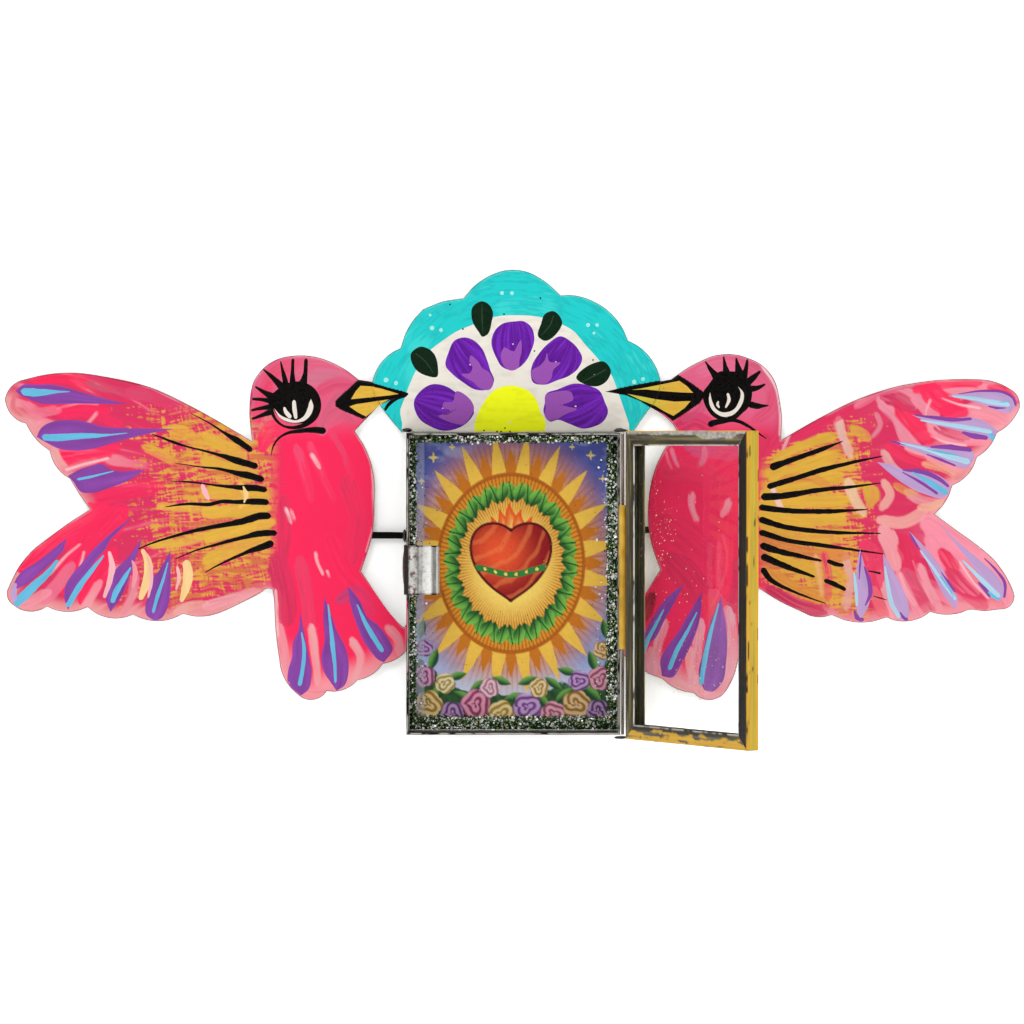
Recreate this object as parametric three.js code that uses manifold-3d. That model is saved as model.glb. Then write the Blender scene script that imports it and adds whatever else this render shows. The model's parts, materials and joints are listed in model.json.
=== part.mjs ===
// A painted tin wall shrine: a shallow box behind a hinged glass door, a scalloped crown above it and a cut-out
// bird at each side on a black rod. Millimetres, +Z up. The origin is the middle of the box's back face, which
// lies on the wall, and the viewer stands on the -Y side. The door is open, as a visitor would find it.
import * as THREE from "three";
import { mergeVertices } from "three/addons/utils/BufferGeometryUtils.js";
import Module from "manifold-3d";

const wasm = await Module();
wasm.setup();

// Stock and fits
const TIN = 0.5; // sheet of every cut or folded piece
const GAP = 0.3; // clearance between neighbouring pieces, filled by solder or paint on the real shrine

// Box
const BOX_W = 90;
const BOX_H = 127;
const BOX_D = 25;
const HEM_DEPTH = 3.5;
const HEM_T = 0.6;
const PRINT_T = 0.3;
const GLITTER_T = 1.8;
const GLITTER_LEFT = 2.7;
const GLITTER_RIGHT = 4.2;
const GLITTER_TOP = 3.1;
const GLITTER_BOTTOM = 5.4;

// Rods and wire
const ROD_R = 1.45;
const ROD_OVERLAP = 22; // length soldered to the back of each bird
const ROD_SOLDER = 1.1; // how far the solder at the wall spreads round a rod
const ROD_SOLDER_LENGTH = 1.8;
const ROD_LIFT = 0.15; // keeps a rod's solder clear of the wall plane
const LOOP_WIRE_R = 0.6;
const LOOP_R = 6;
const LOOP_LEG = 5.4;
const LOOP_SOLDER = 0.6;
const LOOP_SOLDER_LENGTH = 1.4;
const LOOP_STEPS = 20;

// Crown
const CROWN_FLANGE = 4.8;
const CROWN_FLANGE_SIDE = 2; // the flange stops this far inside each side of the box

// Hinge
const HINGE_WIRE_R = 0.7;
const HINGE_OFFSET = 0.9; // wire axis beyond the right wall
const KNUCKLE_TOP = 33.2;
const KNUCKLE_BOTTOM = -27.3;
const LEAF_REACH = 2.8;

// Door
const DOOR_OPEN = 123; // degrees from closed
const DOOR_SHORT = 0.2; // the closed door stops this far inside the left wall's outer face
const DOOR_OVER = 1; // the door stands this far beyond the box above and below
const DOOR_D = 5.8;
const DOOR_RISE = -0.2; // middle of the door above the middle of the box
const RAIL = 6.2;
const GLASS_T = 2;

// Clasp
const CLASP_H = 20.6;
const CLASP_Z = 6.1;
const CLASP_ROOT_Y = -13;
const CLASP_REACH = 14.5;
const CLASP_BULGE = 3.6;
const CLASP_CLEAR = 0.7; // curl in front of the closed door

// Drops of solder: half-widths across, deep and tall, and the shift of some from the piece that each one holds
const CROWN_DROP = { x: 2.1, y: 1.5, z: 0.9 };
const ROD_END_DROP = { x: ROD_R, y: ROD_R, z: 2.3 };
const BEAK_DROP = { x: 2.2, y: 0.9, z: 2.2 };
const TAIL_DROP = { x: 1.1, y: 1, z: 3.2 };
const HINGE_DROP = { x: 3, y: 2, z: 0.7 }; // kept inside the turning door's reach
const HINGE_DROP_SHIFT = { x: -0.7, y: 1.2 };
const DOOR_DROP = { x: 2.2, y: 0.5, z: 2.2 };
const CLASP_DROP = { x: 0.8, y: 2, z: 8.2 };

// Depths that follow from the pieces behind them, all on the viewer's side of the wall
const ROD_Y = -(ROD_R + GAP + ROD_SOLDER + ROD_LIFT);
const BIRD_BACK_Y = ROD_Y - ROD_R - GAP;
const CROWN_BACK_Y = BIRD_BACK_Y - TIN - GAP;
const PRINT_BACK_Y = -TIN - GAP;
const GLITTER_BACK_Y = PRINT_BACK_Y - PRINT_T - GAP;
const WALL_X = BOX_W / 2;
const BOX_TOP = BOX_H / 2;
const INSIDE_X = WALL_X - TIN - GAP;
const INSIDE_Z = BOX_TOP - TIN - GAP;
const KNUCKLE_R = HINGE_WIRE_R + GAP + TIN;
const HINGE_X = WALL_X + HINGE_OFFSET;
const HINGE_Y = -BOX_D - GAP - KNUCKLE_R;
const LEAF_X = KNUCKLE_R + LEAF_REACH - GAP;
const DOOR_EDGE = KNUCKLE_R + LEAF_REACH; // wire axis to the door's hinge side
const DOOR_W = HINGE_X - DOOR_EDGE + WALL_X - DOOR_SHORT;
const DOOR_H = BOX_H + 2 * DOOR_OVER;
const CLOSED_FRONT_Y = -BOX_D - GAP - DOOR_D;

// Outlines of the sheets. Each starts at a corner. An entry [x, z] is a straight cut to that point, and an entry
// [midX, midZ, x, z] is a round cut through the middle point to the end point.

// The birds' x is the distance out from the side of the box, and z is measured from the box's top.
const LEFT_BIRD = {
  start: [65.8, -3.6],
  head: [[66.9, 9.8, 65.5, 20.8], [59.2, 28.9, 50.3, 32.4], [40.1, 32.4, 31.1, 29.5], [25.6, 26.4, 20.6, 22.5]],
  beak: [[14.6, 21.5], [-0.7, 16.5], [12, 11.7], [22.4, 0.8]],
  breast: [[16.5, -9.4, 13.9, -26.4], [14.9, -43.4, 19.7, -58.9]],
  tailTop: [[2.4, -81.9], [1.2, -82.6], [GAP, -81.2], [GAP, -92.4]],
  tailTips: [
    [4.4, -96, 10.4, -98.1],
    [15.2, -102.8, 21.2, -105],
    [27.3, -109.2, 34.2, -109.6],
    [40.5, -113.4, 46.7, -111],
  ],
  tailSide: [[51.5, -105.6, 54.4, -96.3], [56, -83.5, 56.6, -71], [57.1, -66.7]],
  wingUnder: [[58.3, -66.1, 61.3, -67.2], [70.9, -72.4, 79.7, -76.4]],
  lowerTips: [
    [87.7, -78, 95.3, -76.8],
    [106.3, -79.9, 116.5, -77.1],
    [126.3, -78.6, 135.7, -73.9],
    [144.8, -76, 153, -73.7],
    [161.2, -75.8, 167.7, -72.8],
  ],
  lowerEdge: [[170, -69.3, 169.4, -65.7], [162.9, -54.1, 151.8, -44.2], [143.4, -38.1, 134.6, -32.5]],
  upperTips: [
    [139.3, -25.9, 143.1, -19.5],
    [148.6, -14.9, 151.8, -7.5],
    [157.8, -2.4, 161.8, 4],
    [168.9, 8.9, 170.7, 14.4],
  ],
  wingTop: [[168.4, 19.2, 162.4, 22.6], [146.7, 25.4, 130.6, 24.2], [109.3, 19.4, 88.2, 9.4]],
};

const RIGHT_BIRD = {
  start: [68.6, -3.1],
  head: [[68.9, 7.6, 67.3, 17.8], [63.5, 25.9, 55.9, 31.2], [45.8, 33.4, 34.7, 30.5], [30, 28.1, 25, 24.8]],
  beak: [[22, 22.6], [-6.8, 17.6], [10.2, 12.6, 22, 4.5], [24.8, 0.6]],
  breast: [[17.4, -10.2, 12.7, -26.2], [12.7, -41.7, 17.5, -58.1]],
  tailTop: [[2.6, -79.6], [1.3, -80.5], [GAP, -79.1], [GAP, -92.2]],
  tailTips: [
    [3.4, -95.8, 7.2, -98.4],
    [12.7, -102.3, 18.5, -104.7],
    [24.6, -108.8, 31.7, -110.4],
    [38.8, -113.4, 45.5, -109.4],
  ],
  tailSide: [[48.7, -103.3, 50.5, -96.5], [53.1, -80.3, 55.4, -65.5]],
  wingUnder: [[56.7, -64.6, 58.6, -65.6], [68, -71.4, 78.1, -76.2]],
  lowerTips: [
    [84.1, -78.2, 90.3, -77.2],
    [102.8, -80.5, 113.5, -78.3],
    [122.3, -80, 132.1, -76],
    [141, -77.1, 148.7, -75.1],
    [155.9, -75.6, 161.8, -74.9],
  ],
  lowerEdge: [[166.9, -72.5, 167.8, -68.9], [162.4, -57.9, 152.8, -48.3], [143.6, -41.6, 133.8, -34.5]],
  upperTips: [
    [138.8, -28.7, 141.4, -22.3],
    [148, -17.7, 151.8, -10.3],
    [157.4, -5.5, 160.2, 0],
    [166.5, 4.9, 169.8, 10.4],
  ],
  wingTop: [[169.5, 14.6, 166.2, 18.4], [160.4, 21.3, 151.6, 22.7], [136.5, 22.5, 117.4, 19.6], [101.5, 14.4, 85.4, 6.5]],
};

// Where each rod crosses the bird's breast edge, and how high it stands, in the bird's own x and z.
const LEFT_ROD = { breast: 14.9, z: -43.6 };
const RIGHT_ROD = { breast: 12.7, z: -41.3 };
const BEAK_SOLDER = { x: 5, z: 15.5 };
const TAIL_SOLDER_Z = -86.5;

// The crown's x is measured from its middle and z from the box's top, for a box of the width CROWN_BOX_W.
const CROWN_BOX_W = 90;
const CROWN = {
  start: [-47.5, GAP],
  left: [
    [-56.4, 11.5],
    [-58.9, 16.5, -59.7, 21.6],
    [-55.5, 30.4, -47.7, 35.9],
    [-44.3, 44.8, -38.2, 52.4],
    [-30.7, 55.4, -21.1, 57],
  ],
  top: [[-14, 64.2, -4.6, 68.6], [2, 69, 7.8, 67.5], [14.4, 63.5, 20.1, 58.2]],
  right: [[26.3, 58.2, 33, 56.2], [42.4, 49.7, 48.6, 39.1], [57.3, 32.9, 62.3, 22.3], [61.3, 15.7, 57.9, 10.5]],
  foot: [[50.7, GAP]],
};

const ARC_STEP = THREE.MathUtils.degToRad(14);
const ROUND_SIDES = 16;

// Finishes. Each mesh gets a material of its own from one of them.
const bareTin = { color: 0x8a8a84, roughness: 0.45, metalness: 0.8 };
const darkTin = { color: 0x45433a, roughness: 0.55, metalness: 0.5 };
const blackPaint = { color: 0x14120f, roughness: 0.5, metalness: 0 };
const yellowPaint = { color: 0xd2a637, roughness: 0.5, metalness: 0 };
const pinkPaint = { color: 0xe02a55, roughness: 0.45, metalness: 0 };
const tealPaint = { color: 0x1fbcbc, roughness: 0.5, metalness: 0 };
const solder = { color: 0x2a2926, roughness: 0.4, metalness: 0.6 };
const glitter = { color: 0x1c2a18, roughness: 0.35, metalness: 0.3 };
const paper = { color: 0x6d78a8, roughness: 0.6, metalness: 0 };
const steelWire = { color: 0xb9b9b4, roughness: 0.35, metalness: 0.9 };
const glass = { color: 0xdfe8e6, roughness: 0.05, metalness: 0, transparent: true, opacity: 0.3 };

// Solids

function toSolid(geometry) {
  const bare = geometry.index ? geometry.toNonIndexed() : geometry.clone();
  bare.deleteAttribute("normal");
  bare.deleteAttribute("uv");
  const merged = mergeVertices(bare, 1e-4);
  return new wasm.Manifold(
    new wasm.Mesh({
      numProp: 3,
      vertProperties: merged.attributes.position.array,
      triVerts: new Uint32Array(merged.index.array),
    }),
  );
}

function fromSolid(solid) {
  const { vertProperties, triVerts } = solid.getMesh();
  const geometry = new THREE.BufferGeometry();
  geometry.setAttribute("position", new THREE.BufferAttribute(new Float32Array(vertProperties), 3));
  geometry.setIndex(new THREE.BufferAttribute(new Uint32Array(triVerts), 1));
  return geometry;
}

function join(...geometries) {
  return fromSolid(geometries.map(toSolid).reduce((whole, next) => whole.add(next)));
}

function piece(parent, name, geometry, finish) {
  const mesh = new THREE.Mesh(geometry, new THREE.MeshStandardMaterial(finish));
  mesh.name = name;
  parent.add(mesh);
  return mesh;
}

function block(x0, x1, y0, y1, z0, z1) {
  const box = new THREE.BoxGeometry(x1 - x0, y1 - y0, z1 - z0);
  return box.translate((x0 + x1) / 2, (y0 + y1) / 2, (z0 + z1) / 2);
}

// A flat sheet in the XZ plane, from its back face toward the viewer.
function sheet(shape, thickness, backY) {
  const geometry = new THREE.ExtrudeGeometry(shape, { depth: thickness, bevelEnabled: false, curveSegments: 1 });
  return geometry.rotateX(Math.PI / 2).translate(0, backY, 0);
}

// A bar of one section, drawn in the XY plane, that stands from z0 up to z1.
function standing(shape, z0, z1) {
  const geometry = new THREE.ExtrudeGeometry(shape, { depth: z1 - z0, bevelEnabled: false, curveSegments: 1 });
  return geometry.translate(0, 0, z0);
}

// The points of a round cut from a through b to c, without a. Three points in a line give a straight cut.
function arcPoints(a, b, c) {
  const cross = (b.x - a.x) * (c.y - a.y) - (b.y - a.y) * (c.x - a.x);
  if (Math.abs(cross) < 1e-6) return [b, c];
  const side = (p) => p.x * p.x + p.y * p.y;
  const cx = (side(a) * (b.y - c.y) + side(b) * (c.y - a.y) + side(c) * (a.y - b.y)) / (2 * cross);
  const cy = (side(a) * (c.x - b.x) + side(b) * (a.x - c.x) + side(c) * (b.x - a.x)) / (2 * cross);
  const radius = Math.hypot(a.x - cx, a.y - cy);
  const from = Math.atan2(a.y - cy, a.x - cx);
  let sweep = Math.atan2(c.y - cy, c.x - cx) - from;
  if (cross > 0 && sweep < 0) sweep += 2 * Math.PI;
  if (cross < 0 && sweep > 0) sweep -= 2 * Math.PI;
  const steps = Math.max(2, Math.ceil(Math.abs(sweep) / ARC_STEP));
  const points = [];
  for (let i = 1; i < steps; i++) {
    const angle = from + (sweep * i) / steps;
    points.push(new THREE.Vector2(cx + radius * Math.cos(angle), cy + radius * Math.sin(angle)));
  }
  return [...points, c];
}

// A closed outline from a start corner and its cuts, with x multiplied by sideways.
function outline(drawing, sideways) {
  const { start, ...runs } = drawing;
  const at = (x, z) => new THREE.Vector2(sideways * x, z);
  const points = [at(...start)];
  for (const cut of Object.values(runs).flat()) {
    const last = points[points.length - 1];
    if (cut.length === 2) points.push(at(...cut));
    else points.push(...arcPoints(last, at(cut[0], cut[1]), at(cut[2], cut[3])));
  }
  return new THREE.Shape(points);
}

// A strip of sheet that follows a path in the XY plane, seen from above.
function stripShape(path, thickness) {
  const left = [];
  const right = [];
  path.forEach((point, i) => {
    const before = path[Math.max(i - 1, 0)];
    const after = path[Math.min(i + 1, path.length - 1)];
    const incoming = point.clone().sub(before);
    const outgoing = after.clone().sub(point);
    if (i === 0) incoming.copy(outgoing);
    if (i === path.length - 1) outgoing.copy(incoming);
    incoming.normalize();
    outgoing.normalize();
    const mean = incoming.clone().add(outgoing).normalize();
    const offset = thickness / 2 / mean.dot(outgoing);
    const normal = new THREE.Vector2(-mean.y, mean.x).multiplyScalar(offset);
    left.push(point.clone().add(normal));
    right.unshift(point.clone().sub(normal));
  });
  return new THREE.Shape([...left, ...right]);
}

function ellipsePath(cx, cy, rx, ry, fromDeg, toDeg, steps) {
  const points = [];
  for (let i = 0; i <= steps; i++) {
    const angle = THREE.MathUtils.degToRad(fromDeg + ((toDeg - fromDeg) * i) / steps);
    points.push(new THREE.Vector2(cx + rx * Math.cos(angle), cy + ry * Math.sin(angle)));
  }
  return points;
}

// A drop of solder: a squashed ball with its half-widths along X, Y and Z.
function drop({ x, y, z }) {
  return new THREE.SphereGeometry(1, 10, 6).scale(x, y, z);
}

// A collar of solder round a bar along Z, thick at z = 0 and thin at its far end.
function collar(barR, spread, length) {
  const inner = barR + GAP;
  const profile = [[inner, 0], [inner + spread, 0], [inner + spread * 0.75, length * 0.45], [inner, length]];
  const points = profile.map(([r, z]) => new THREE.Vector2(r, z));
  const lathe = new THREE.LatheGeometry([...points, points[0]], ROUND_SIDES);
  return lathe.rotateX(Math.PI / 2);
}

function rod(radius, length) {
  return new THREE.CylinderGeometry(radius, radius, length, ROUND_SIDES);
}

// Box

function addBox(shrine) {
  piece(shrine, "box_back", block(-INSIDE_X, INSIDE_X, -TIN, 0, -INSIDE_Z, INSIDE_Z), bareTin);

  const frame = (outX, outZ, wall) => {
    const shape = new THREE.Shape(rectangle(outX, outZ));
    shape.holes.push(new THREE.Path(rectangle(outX - wall, outZ - wall).reverse()));
    return shape;
  };
  const walls = sheet(frame(WALL_X, BOX_TOP, TIN), BOX_D, 0);
  const hem = sheet(frame(WALL_X - TIN / 2, BOX_TOP - TIN / 2, TIN / 2 + HEM_T), HEM_DEPTH, HEM_DEPTH - BOX_D);
  piece(shrine, "box_walls", join(walls, hem), darkTin);

  const print = block(-INSIDE_X, INSIDE_X, PRINT_BACK_Y - PRINT_T, PRINT_BACK_Y, -INSIDE_Z, INSIDE_Z);
  piece(shrine, "print_card", print, paper);
}

function rectangle(halfX, halfZ) {
  return [[-halfX, -halfZ], [halfX, -halfZ], [halfX, halfZ], [-halfX, halfZ]].map(([x, z]) => new THREE.Vector2(x, z));
}

// Each run of glitter glue is a low mound along one edge of the print.
function addGlitter(shrine) {
  const mound = (width, length) => {
    const shape = new THREE.Shape(ellipsePath(0, 0, width / 2, GLITTER_T, 180, 360, 8));
    return standing(shape, -length / 2, length / 2).translate(0, GLITTER_BACK_Y, 0);
  };
  const upright = 2 * INSIDE_Z;
  const across = 2 * INSIDE_X - GLITTER_LEFT - GLITTER_RIGHT - 2 * GAP;
  const acrossX = (GLITTER_LEFT - GLITTER_RIGHT) / 2;
  const left = piece(shrine, "glitter_left", mound(GLITTER_LEFT, upright), glitter);
  left.position.x = -INSIDE_X + GLITTER_LEFT / 2;
  const right = piece(shrine, "glitter_right", mound(GLITTER_RIGHT, upright), glitter);
  right.position.x = INSIDE_X - GLITTER_RIGHT / 2;
  const top = piece(shrine, "glitter_top", mound(GLITTER_TOP, across).rotateY(Math.PI / 2), glitter);
  top.position.set(acrossX, 0, INSIDE_Z - GLITTER_TOP / 2);
  const bottom = piece(shrine, "glitter_bottom", mound(GLITTER_BOTTOM, across).rotateY(Math.PI / 2), glitter);
  bottom.position.set(acrossX, 0, -INSIDE_Z + GLITTER_BOTTOM / 2);
}

// Crown

function addCrown(shrine) {
  const crown = new THREE.Group();
  crown.position.z = BOX_TOP;
  shrine.add(crown);

  const plate = sheet(outline(CROWN, BOX_W / CROWN_BOX_W), TIN, CROWN_BACK_Y);
  const half = WALL_X - CROWN_FLANGE_SIDE;
  const flange = block(-half, half, CROWN_BACK_Y - TIN / 2, CROWN_BACK_Y + CROWN_FLANGE, GAP, GAP + TIN);
  piece(crown, "crown", join(plate, flange), tealPaint);

  const frontY = CROWN_BACK_Y - TIN;
  for (const [name, side] of [["crown_solder_left", -1], ["crown_solder_right", 1]]) {
    const blob = piece(crown, name, drop(CROWN_DROP), solder);
    blob.position.set(side * WALL_X, frontY - GAP - CROWN_DROP.y, GAP + CROWN_DROP.z);
  }
  addHangingLoop(crown);
}

// The loop that hangs the shrine on a nail stands on the crown's flange, hidden behind the crown.
function addHangingLoop(crown) {
  const footZ = GAP + TIN + GAP;
  const bend = ellipsePath(0, footZ + LOOP_LEG, LOOP_R, LOOP_R, 180, 0, 8);
  const route = [new THREE.Vector2(-LOOP_R, footZ), ...bend, new THREE.Vector2(LOOP_R, footZ)];
  const path = new THREE.CatmullRomCurve3(route.map(({ x, y }) => new THREE.Vector3(x, ROD_Y, y)));
  const section = new THREE.Shape(ellipsePath(0, 0, LOOP_WIRE_R, LOOP_WIRE_R, 0, 315, 7));
  const geometry = new THREE.ExtrudeGeometry(section, { steps: LOOP_STEPS, extrudePath: path, curveSegments: 1 });
  piece(crown, "hanging_loop", geometry, steelWire);

  for (const [name, side] of [["loop_solder_left", -1], ["loop_solder_right", 1]]) {
    const foot = piece(crown, name, collar(LOOP_WIRE_R, LOOP_SOLDER, LOOP_SOLDER_LENGTH), solder);
    foot.position.set(side * LOOP_R, ROD_Y, footZ);
  }
}

// Birds. A bird's group stands at the top of the side wall it belongs to, and side is -1 on the left.

function addBird(shrine, label, side, drawing, rodAt) {
  const bird = new THREE.Group();
  bird.position.set(side * WALL_X, 0, BOX_TOP);
  shrine.add(bird);

  piece(bird, "bird_" + label, sheet(outline(drawing, side), TIN, BIRD_BACK_Y), pinkPaint);

  const length = rodAt.breast + ROD_OVERLAP - GAP;
  const bar = piece(bird, "rod_" + label, rod(ROD_R, length).rotateZ(Math.PI / 2), blackPaint);
  bar.position.set(side * (GAP + length / 2), ROD_Y, rodAt.z);

  const wallCollar = piece(bird, "rod_solder_" + label, collar(ROD_R, ROD_SOLDER, ROD_SOLDER_LENGTH), solder);
  wallCollar.rotation.y = (side * Math.PI) / 2;
  wallCollar.position.set(side * GAP, ROD_Y, rodAt.z);

  const drops = [
    { name: "bird_solder_", size: ROD_END_DROP, x: GAP + length + GAP + ROD_END_DROP.x, z: rodAt.z },
    { name: "beak_solder_", size: BEAK_DROP, x: BEAK_SOLDER.x, z: BEAK_SOLDER.z },
    { name: "tail_solder_", size: TAIL_DROP, x: GAP + TAIL_DROP.x, z: TAIL_SOLDER_Z },
  ];
  for (const { name, size, x, z } of drops) {
    const blob = piece(bird, name + label, drop(size), solder);
    blob.position.set(side * x, BIRD_BACK_Y + GAP + size.y, z);
  }
}

// Hinge and door. The door's group stands at the hinge wire, its pieces are drawn closed, and then it is turned.

function addHingeWire(shrine) {
  const wire = piece(shrine, "hinge_wire", rod(HINGE_WIRE_R, BOX_H - 2 * GAP).rotateX(Math.PI / 2), steelWire);
  wire.position.set(HINGE_X, HINGE_Y, 0);
  for (const [name, end] of [["hinge_solder_top", 1], ["hinge_solder_bottom", -1]]) {
    const blob = piece(shrine, name, drop(HINGE_DROP), solder);
    const z = end * (BOX_TOP + GAP + HINGE_DROP.z);
    blob.position.set(HINGE_X + HINGE_DROP_SHIFT.x, HINGE_Y + HINGE_DROP_SHIFT.y, z);
  }
}

function addKnuckle(door) {
  const middleR = KNUCKLE_R - TIN / 2;
  const leafX = -(LEAF_X - TIN / 2);
  const path = [
    new THREE.Vector2(leafX, -(DOOR_D - KNUCKLE_R - TIN)),
    new THREE.Vector2(leafX, -middleR),
    ...ellipsePath(0, 0, middleR, middleR, -90, 195, 15),
  ];
  const knuckle = standing(stripShape(path, TIN), KNUCKLE_BOTTOM, KNUCKLE_TOP);
  piece(door, "hinge_knuckle", knuckle, yellowPaint);
}

// A folded channel with both ends mitred, open toward the glass. Its section is drawn with the width across the
// rail as x and the depth as y, and the mitres lengthen its outer side.
function channel(length) {
  const corners = [[0, 0], [RAIL, 0], [RAIL, TIN], [TIN, TIN], [TIN, DOOR_D - TIN], [RAIL, DOOR_D - TIN]];
  const section = [...corners, [RAIL, DOOR_D], [0, DOOR_D]].map(([w, d]) => new THREE.Vector2(w, d));
  const geometry = new THREE.ExtrudeGeometry(new THREE.Shape(section), { depth: 1, bevelEnabled: false });
  const position = geometry.attributes.position;
  for (let i = 0; i < position.count; i++) {
    const mitre = position.getX(i) + GAP / 2;
    position.setZ(i, position.getZ(i) < 0.5 ? mitre : length - mitre);
  }
  return geometry;
}

function addDoor(shrine) {
  const door = new THREE.Group();
  door.position.set(HINGE_X, HINGE_Y, 0);
  door.rotation.z = THREE.MathUtils.degToRad(DOOR_OPEN);
  shrine.add(door);
  addKnuckle(door);

  const near = -DOOR_EDGE;
  const far = near - DOOR_W;
  const top = DOOR_RISE + DOOR_H / 2;
  const bottom = DOOR_RISE - DOOR_H / 2;
  const inward = new THREE.Vector3(0, -1, 0);
  const sides = [
    { name: "door_stile_hinge", length: DOOR_H, corner: [near, bottom], across: [-1, 0, 0] },
    { name: "door_stile_free", length: DOOR_H, corner: [far, top], across: [1, 0, 0] },
    { name: "door_rail_top", length: DOOR_W, corner: [near, top], across: [0, 0, -1] },
    { name: "door_rail_bottom", length: DOOR_W, corner: [far, bottom], across: [0, 0, 1] },
  ];
  for (const { name, length, corner, across } of sides) {
    const width = new THREE.Vector3(...across);
    const along = new THREE.Vector3().crossVectors(width, inward);
    const place = new THREE.Matrix4().makeBasis(width, inward, along);
    place.setPosition(corner[0], KNUCKLE_R, corner[1]);
    piece(door, name, channel(length).applyMatrix4(place), darkTin);
  }

  const edge = TIN + GAP;
  const glassFront = KNUCKLE_R - (DOOR_D - TIN - GAP);
  const pane = block(far + edge, near - edge, glassFront, glassFront + GLASS_T, bottom + edge, top - edge);
  piece(door, "door_glass", pane, glass);

  const dropY = KNUCKLE_R - DOOR_D - GAP - DOOR_DROP.y;
  const inset = RAIL / 2;
  const corners = [
    ["door_solder_top_hinge", near - inset, top - inset],
    ["door_solder_top_free", far + inset, top - inset],
    ["door_solder_bottom_hinge", near - inset, bottom + inset],
    ["door_solder_bottom_free", far + inset, bottom + inset],
  ];
  for (const [name, x, z] of corners) {
    const blob = piece(door, name, drop(DOOR_DROP), solder);
    blob.position.set(x, dropY, z);
  }
}

// Clasp: a springy strip along the left wall that curls round in front of the closed door.

function addClasp(shrine) {
  const strapX = -(WALL_X + GAP + TIN / 2);
  const bendY = CLOSED_FRONT_Y - CLASP_CLEAR;
  const curl = ellipsePath(strapX + CLASP_REACH / 2, bendY, CLASP_REACH / 2, CLASP_BULGE, 180, 360, 18);
  const path = [new THREE.Vector2(strapX, CLASP_ROOT_Y), ...curl];
  const strip = standing(stripShape(path, TIN), CLASP_Z - CLASP_H / 2, CLASP_Z + CLASP_H / 2);
  piece(shrine, "clasp", strip, bareTin);

  const root = piece(shrine, "clasp_solder", drop(CLASP_DROP), solder);
  root.position.set(-(WALL_X + GAP + CLASP_DROP.x), CLASP_ROOT_Y + TIN / 2 + GAP + CLASP_DROP.y, CLASP_Z);
}

const shrine = new THREE.Group();
addBox(shrine);
addGlitter(shrine);
addCrown(shrine);
addBird(shrine, "left", -1, LEFT_BIRD, LEFT_ROD);
addBird(shrine, "right", 1, RIGHT_BIRD, RIGHT_ROD);
addHingeWire(shrine);
addDoor(shrine);
addClasp(shrine);

export default shrine;
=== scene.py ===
"""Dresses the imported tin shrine: painted birds and crown, print, glitter, glass, tin, wire and solder.

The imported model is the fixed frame, in metres: +X to the viewer's right, +Y into the wall, +Z up. Places
that were read off the photograph are in its pixels, and on_plane() turns them into places on a sheet of the
shrine."""
import json
import math

import bpy
import numpy as np
from bpy.props import FloatProperty, FloatVectorProperty, IntProperty, PointerProperty
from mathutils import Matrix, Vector
from mathutils.geometry import delaunay_2d_cdt


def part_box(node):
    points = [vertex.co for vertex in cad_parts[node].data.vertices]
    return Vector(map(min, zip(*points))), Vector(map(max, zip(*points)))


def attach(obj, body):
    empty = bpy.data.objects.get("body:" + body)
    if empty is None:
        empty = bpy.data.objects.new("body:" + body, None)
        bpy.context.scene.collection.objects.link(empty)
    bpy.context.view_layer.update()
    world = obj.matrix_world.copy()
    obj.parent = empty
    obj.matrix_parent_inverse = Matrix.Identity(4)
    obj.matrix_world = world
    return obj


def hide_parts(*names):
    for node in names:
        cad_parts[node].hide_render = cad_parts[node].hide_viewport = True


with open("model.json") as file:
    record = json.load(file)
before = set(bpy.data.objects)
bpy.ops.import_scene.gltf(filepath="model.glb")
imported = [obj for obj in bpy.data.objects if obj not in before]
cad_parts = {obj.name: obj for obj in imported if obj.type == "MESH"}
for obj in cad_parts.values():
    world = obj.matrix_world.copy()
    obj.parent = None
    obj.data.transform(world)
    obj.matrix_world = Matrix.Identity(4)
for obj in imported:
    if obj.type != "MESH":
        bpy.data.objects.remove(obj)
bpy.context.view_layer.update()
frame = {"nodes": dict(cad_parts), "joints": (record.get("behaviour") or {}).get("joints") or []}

bl_info = {
    "name": "Painted tin shrine",
    "version": (1, 0, 0),
    "blender": (4, 5, 0),
    "location": "3D View > Sidebar > Shrine",
    "description": "Paints and finishes the pieces of a tin wall shrine",
    "category": "Object",
}

MM = 0.001
TIN = 0.5 * MM
BOX_LOW, BOX_HIGH = (np.array(corner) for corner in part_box("box_walls"))
FRONT_Y = BOX_LOW[1]

# The photograph: where its camera stood, what its middle shows, and one pixel's size at that distance.
EYE = np.array((0.0, -1.875, 0.0605))
AIM = np.array((-0.000525, FRONT_Y, 0.03024))
PIXEL = 0.42 * MM
MIDDLE = 512
SENSOR = 0.036


def view_axes():
    """The photograph's forward, right and up directions, and the distance to what its middle shows."""
    forward = AIM - EYE
    distance = np.linalg.norm(forward)
    forward = forward / distance
    right = np.cross(forward, (0, 0, 1))
    right = right / np.linalg.norm(right)
    return forward, right, np.cross(right, forward), distance


def on_plane(pixels, y):
    """Places (x, z) where the sight lines through pixels of the photograph cross the plane at y."""
    forward, right, up, distance = view_axes()
    pixels = np.asarray(pixels, float)
    across = (pixels[..., 0:1] - MIDDLE) * PIXEL
    rise = (MIDDLE - pixels[..., 1:2]) * PIXEL
    ray = forward * distance + across * right + rise * up
    place = EYE + ray * ((y - EYE[1]) / ray[..., 1:2])
    return place[..., [0, 2]]


def to_pixels(x, y, z):
    """Pixels of the photograph that show the places x, y, z."""
    forward, right, up, distance = view_axes()
    offset = np.stack(np.broadcast_arrays(x, y, z), axis=-1) - EYE
    scale = distance / PIXEL / (offset @ forward)
    return MIDDLE + (offset @ right) * scale, MIDDLE - (offset @ up) * scale


# Colour and numbers


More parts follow.
